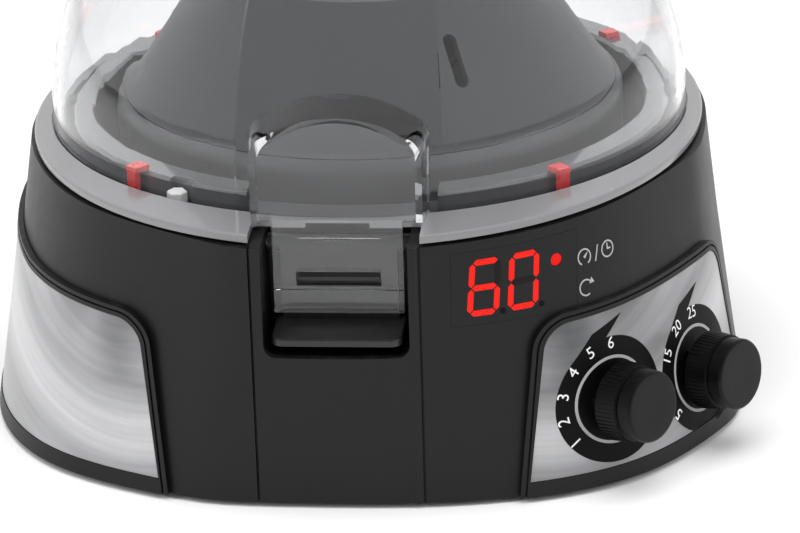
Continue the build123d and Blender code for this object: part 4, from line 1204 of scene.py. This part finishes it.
@dataclass
class Studio:
    """White floor, soft lights and the camera."""

    elevation: float = 19.45
    azimuth: float = 5.85
    roll: float = -1.85
    yaw: float = -0.34
    pitch: float = -2.47
    focal_px: float = 3962.0
    distance: float = 12 * 85 * MM
    aim: Vector = Vector((0.0, 0.0, 70 * MM))
    image_width: float = 800.0
    sensor: float = 36.0
    floor_white: float = 0.93
    floor_half: float = 6.0
    lamp_aim: Vector = Vector((0.0, 0.0, 60 * MM))
    ambient: float = 0.42

    # Name, place, height, size of the face and power of each lamp
    LAMPS = (
        ("top_box", (0.0, -0.1), 1.3, (1.4, 1.2), 16.0),
        ("left_box", (-1.1, -0.7), 0.75, (0.5, 1.1), 9.0),
        ("right_box", (1.1, -0.55), 0.7, (0.5, 1.1), 7.0),
    )
    # Where the mirrored surrounding grows bright towards the back, and its share at the sides
    BACK_FADE = (-0.2, 0.6)
    SIDE_SHARE = 0.9
    # Range of that growth and the brightness at its ends
    MIRROR_FADE = (0.1, 0.95)
    MIRROR_LEVELS = (0.16, 0.95)

    def camera(self) -> None:
        """Sets the camera at the photograph's viewing angle."""
        az, el = math.radians(self.azimuth), math.radians(self.elevation)
        forward = Vector((-math.sin(az) * math.cos(el), math.cos(az) * math.cos(el), -math.sin(el)))
        place = -forward * self.distance
        right = Vector((math.cos(az), math.sin(az), 0.0))
        up = right.cross(forward)
        turn = Matrix.Rotation(math.radians(self.yaw), 3, up)
        forward, right = turn @ forward, turn @ right
        tip = Matrix.Rotation(math.radians(self.pitch), 3, right)
        forward, up = tip @ forward, tip @ up
        roll = math.radians(self.roll)
        x_axis = right * math.cos(roll) + up * math.sin(roll)
        y_axis = -right * math.sin(roll) + up * math.cos(roll)
        data = bpy.data.cameras.new("camera")
        data.sensor_width = self.sensor
        data.lens = self.focal_px / self.image_width * self.sensor
        data.clip_start = 0.01
        data.clip_end = 50.0
        view = bpy.data.objects.new("camera", data)
        turned = Matrix((x_axis, y_axis, -forward)).transposed().to_4x4()
        view.matrix_world = Matrix.Translation(place + self.aim) @ turned
        bpy.context.scene.collection.objects.link(view)
        bpy.context.scene.camera = view

    def floor(self) -> None:
        """Lays the white floor."""
        material, tree = start_material("WhiteFloor")
        inputs = {"Base Color": (*(self.floor_white,) * 3, 1.0), "Roughness": 0.7}
        tree.finish(inputs)
        made = bmesh.new()
        bmesh.ops.create_grid(made, x_segments=2, y_segments=2, size=self.floor_half)
        mesh = as_mesh(made, "floor")
        mesh.materials.append(material)
        ground = bpy.data.objects.new("floor", mesh)
        bpy.context.scene.collection.objects.link(ground)

    def lamp(self, name: str, place: Point2, height: float, size: tuple[float, float], watts: float) -> None:
        """Adds a soft box that looks at the object.

        Args:
            name: Name of the lamp.
            place: Its X and Y in metres.
            height: Its height.
            size: Width and height of its face.
            watts: Its power.
        """
        data = bpy.data.lights.new(name, "AREA")
        data.shape = "RECTANGLE"
        data.size, data.size_y = size
        data.energy = watts
        box = bpy.data.objects.new(name, data)
        place3 = Vector((*place, height))
        aim = (self.lamp_aim - place3).normalized()
        box.matrix_world = Matrix.Translation(place3) @ aim.to_track_quat("-Z", "Y").to_matrix().to_4x4()
        box.visible_glossy = False
        box.visible_transmission = False
        bpy.context.scene.collection.objects.link(box)

    def world(self) -> None:
        """Sets a white surrounding that lights softly."""
        world = bpy.data.worlds.new("studio")
        bpy.context.scene.world = world
        world.use_nodes = True
        world.node_tree.nodes.clear()
        tree = Tree(world.node_tree)
        rays = tree.node("ShaderNodeLightPath").outputs
        seen = tree.math("MAXIMUM", rays["Is Camera Ray"], rays["Is Transmission Ray"])
        way = tree.node("ShaderNodeSeparateXYZ", {0: tree.node("ShaderNodeTexCoord").outputs["Generated"]})
        side = tree.math("ABSOLUTE", way.outputs[0])
        behind = tree.spread(way.outputs[1], *self.BACK_FADE)
        bright = tree.math("MAXIMUM", tree.math("MULTIPLY", side, self.SIDE_SHARE), behind)
        mirrored = tree.spread(bright, *self.MIRROR_FADE, *self.MIRROR_LEVELS)
        level = tree.spread(seen, 0.0, 1.0, self.ambient, 1.0)
        glossy = tree.math("MULTIPLY", rays["Is Glossy Ray"], tree.math("SUBTRACT", mirrored, self.ambient))
        unseen = tree.math("SUBTRACT", 1.0, seen)
        level = tree.math("ADD", level, tree.math("MULTIPLY", glossy, unseen))
        light = tree.node("ShaderNodeBackground", {"Color": (1.0, 1.0, 1.0, 1.0), "Strength": level})
        tree.node("ShaderNodeOutputWorld", {"Surface": light.outputs[0]})

    def build(self) -> None:
        """Builds the whole studio."""
        bpy.context.scene.view_settings.view_transform = "Standard"
        self.camera()
        self.floor()
        self.world()
        for lamp in self.LAMPS:
            self.lamp(*lamp)


def main() -> None:
    """Dresses the frame and builds the details and the studio."""
    logging.basicConfig(level=logging.INFO, format="%(name)s: %(message)s")
    finishes = Finishes()
    finishes.dress_frame()
    Display().build(finishes)
    ControlKnob("speed", ("1", "2", "3", "4", "5", "6")).build(finishes)
    ControlKnob("time", ("5", "10", "15", "20", "25")).build(finishes)
    Studio().build()


if __name__ == "__main__":
    main()
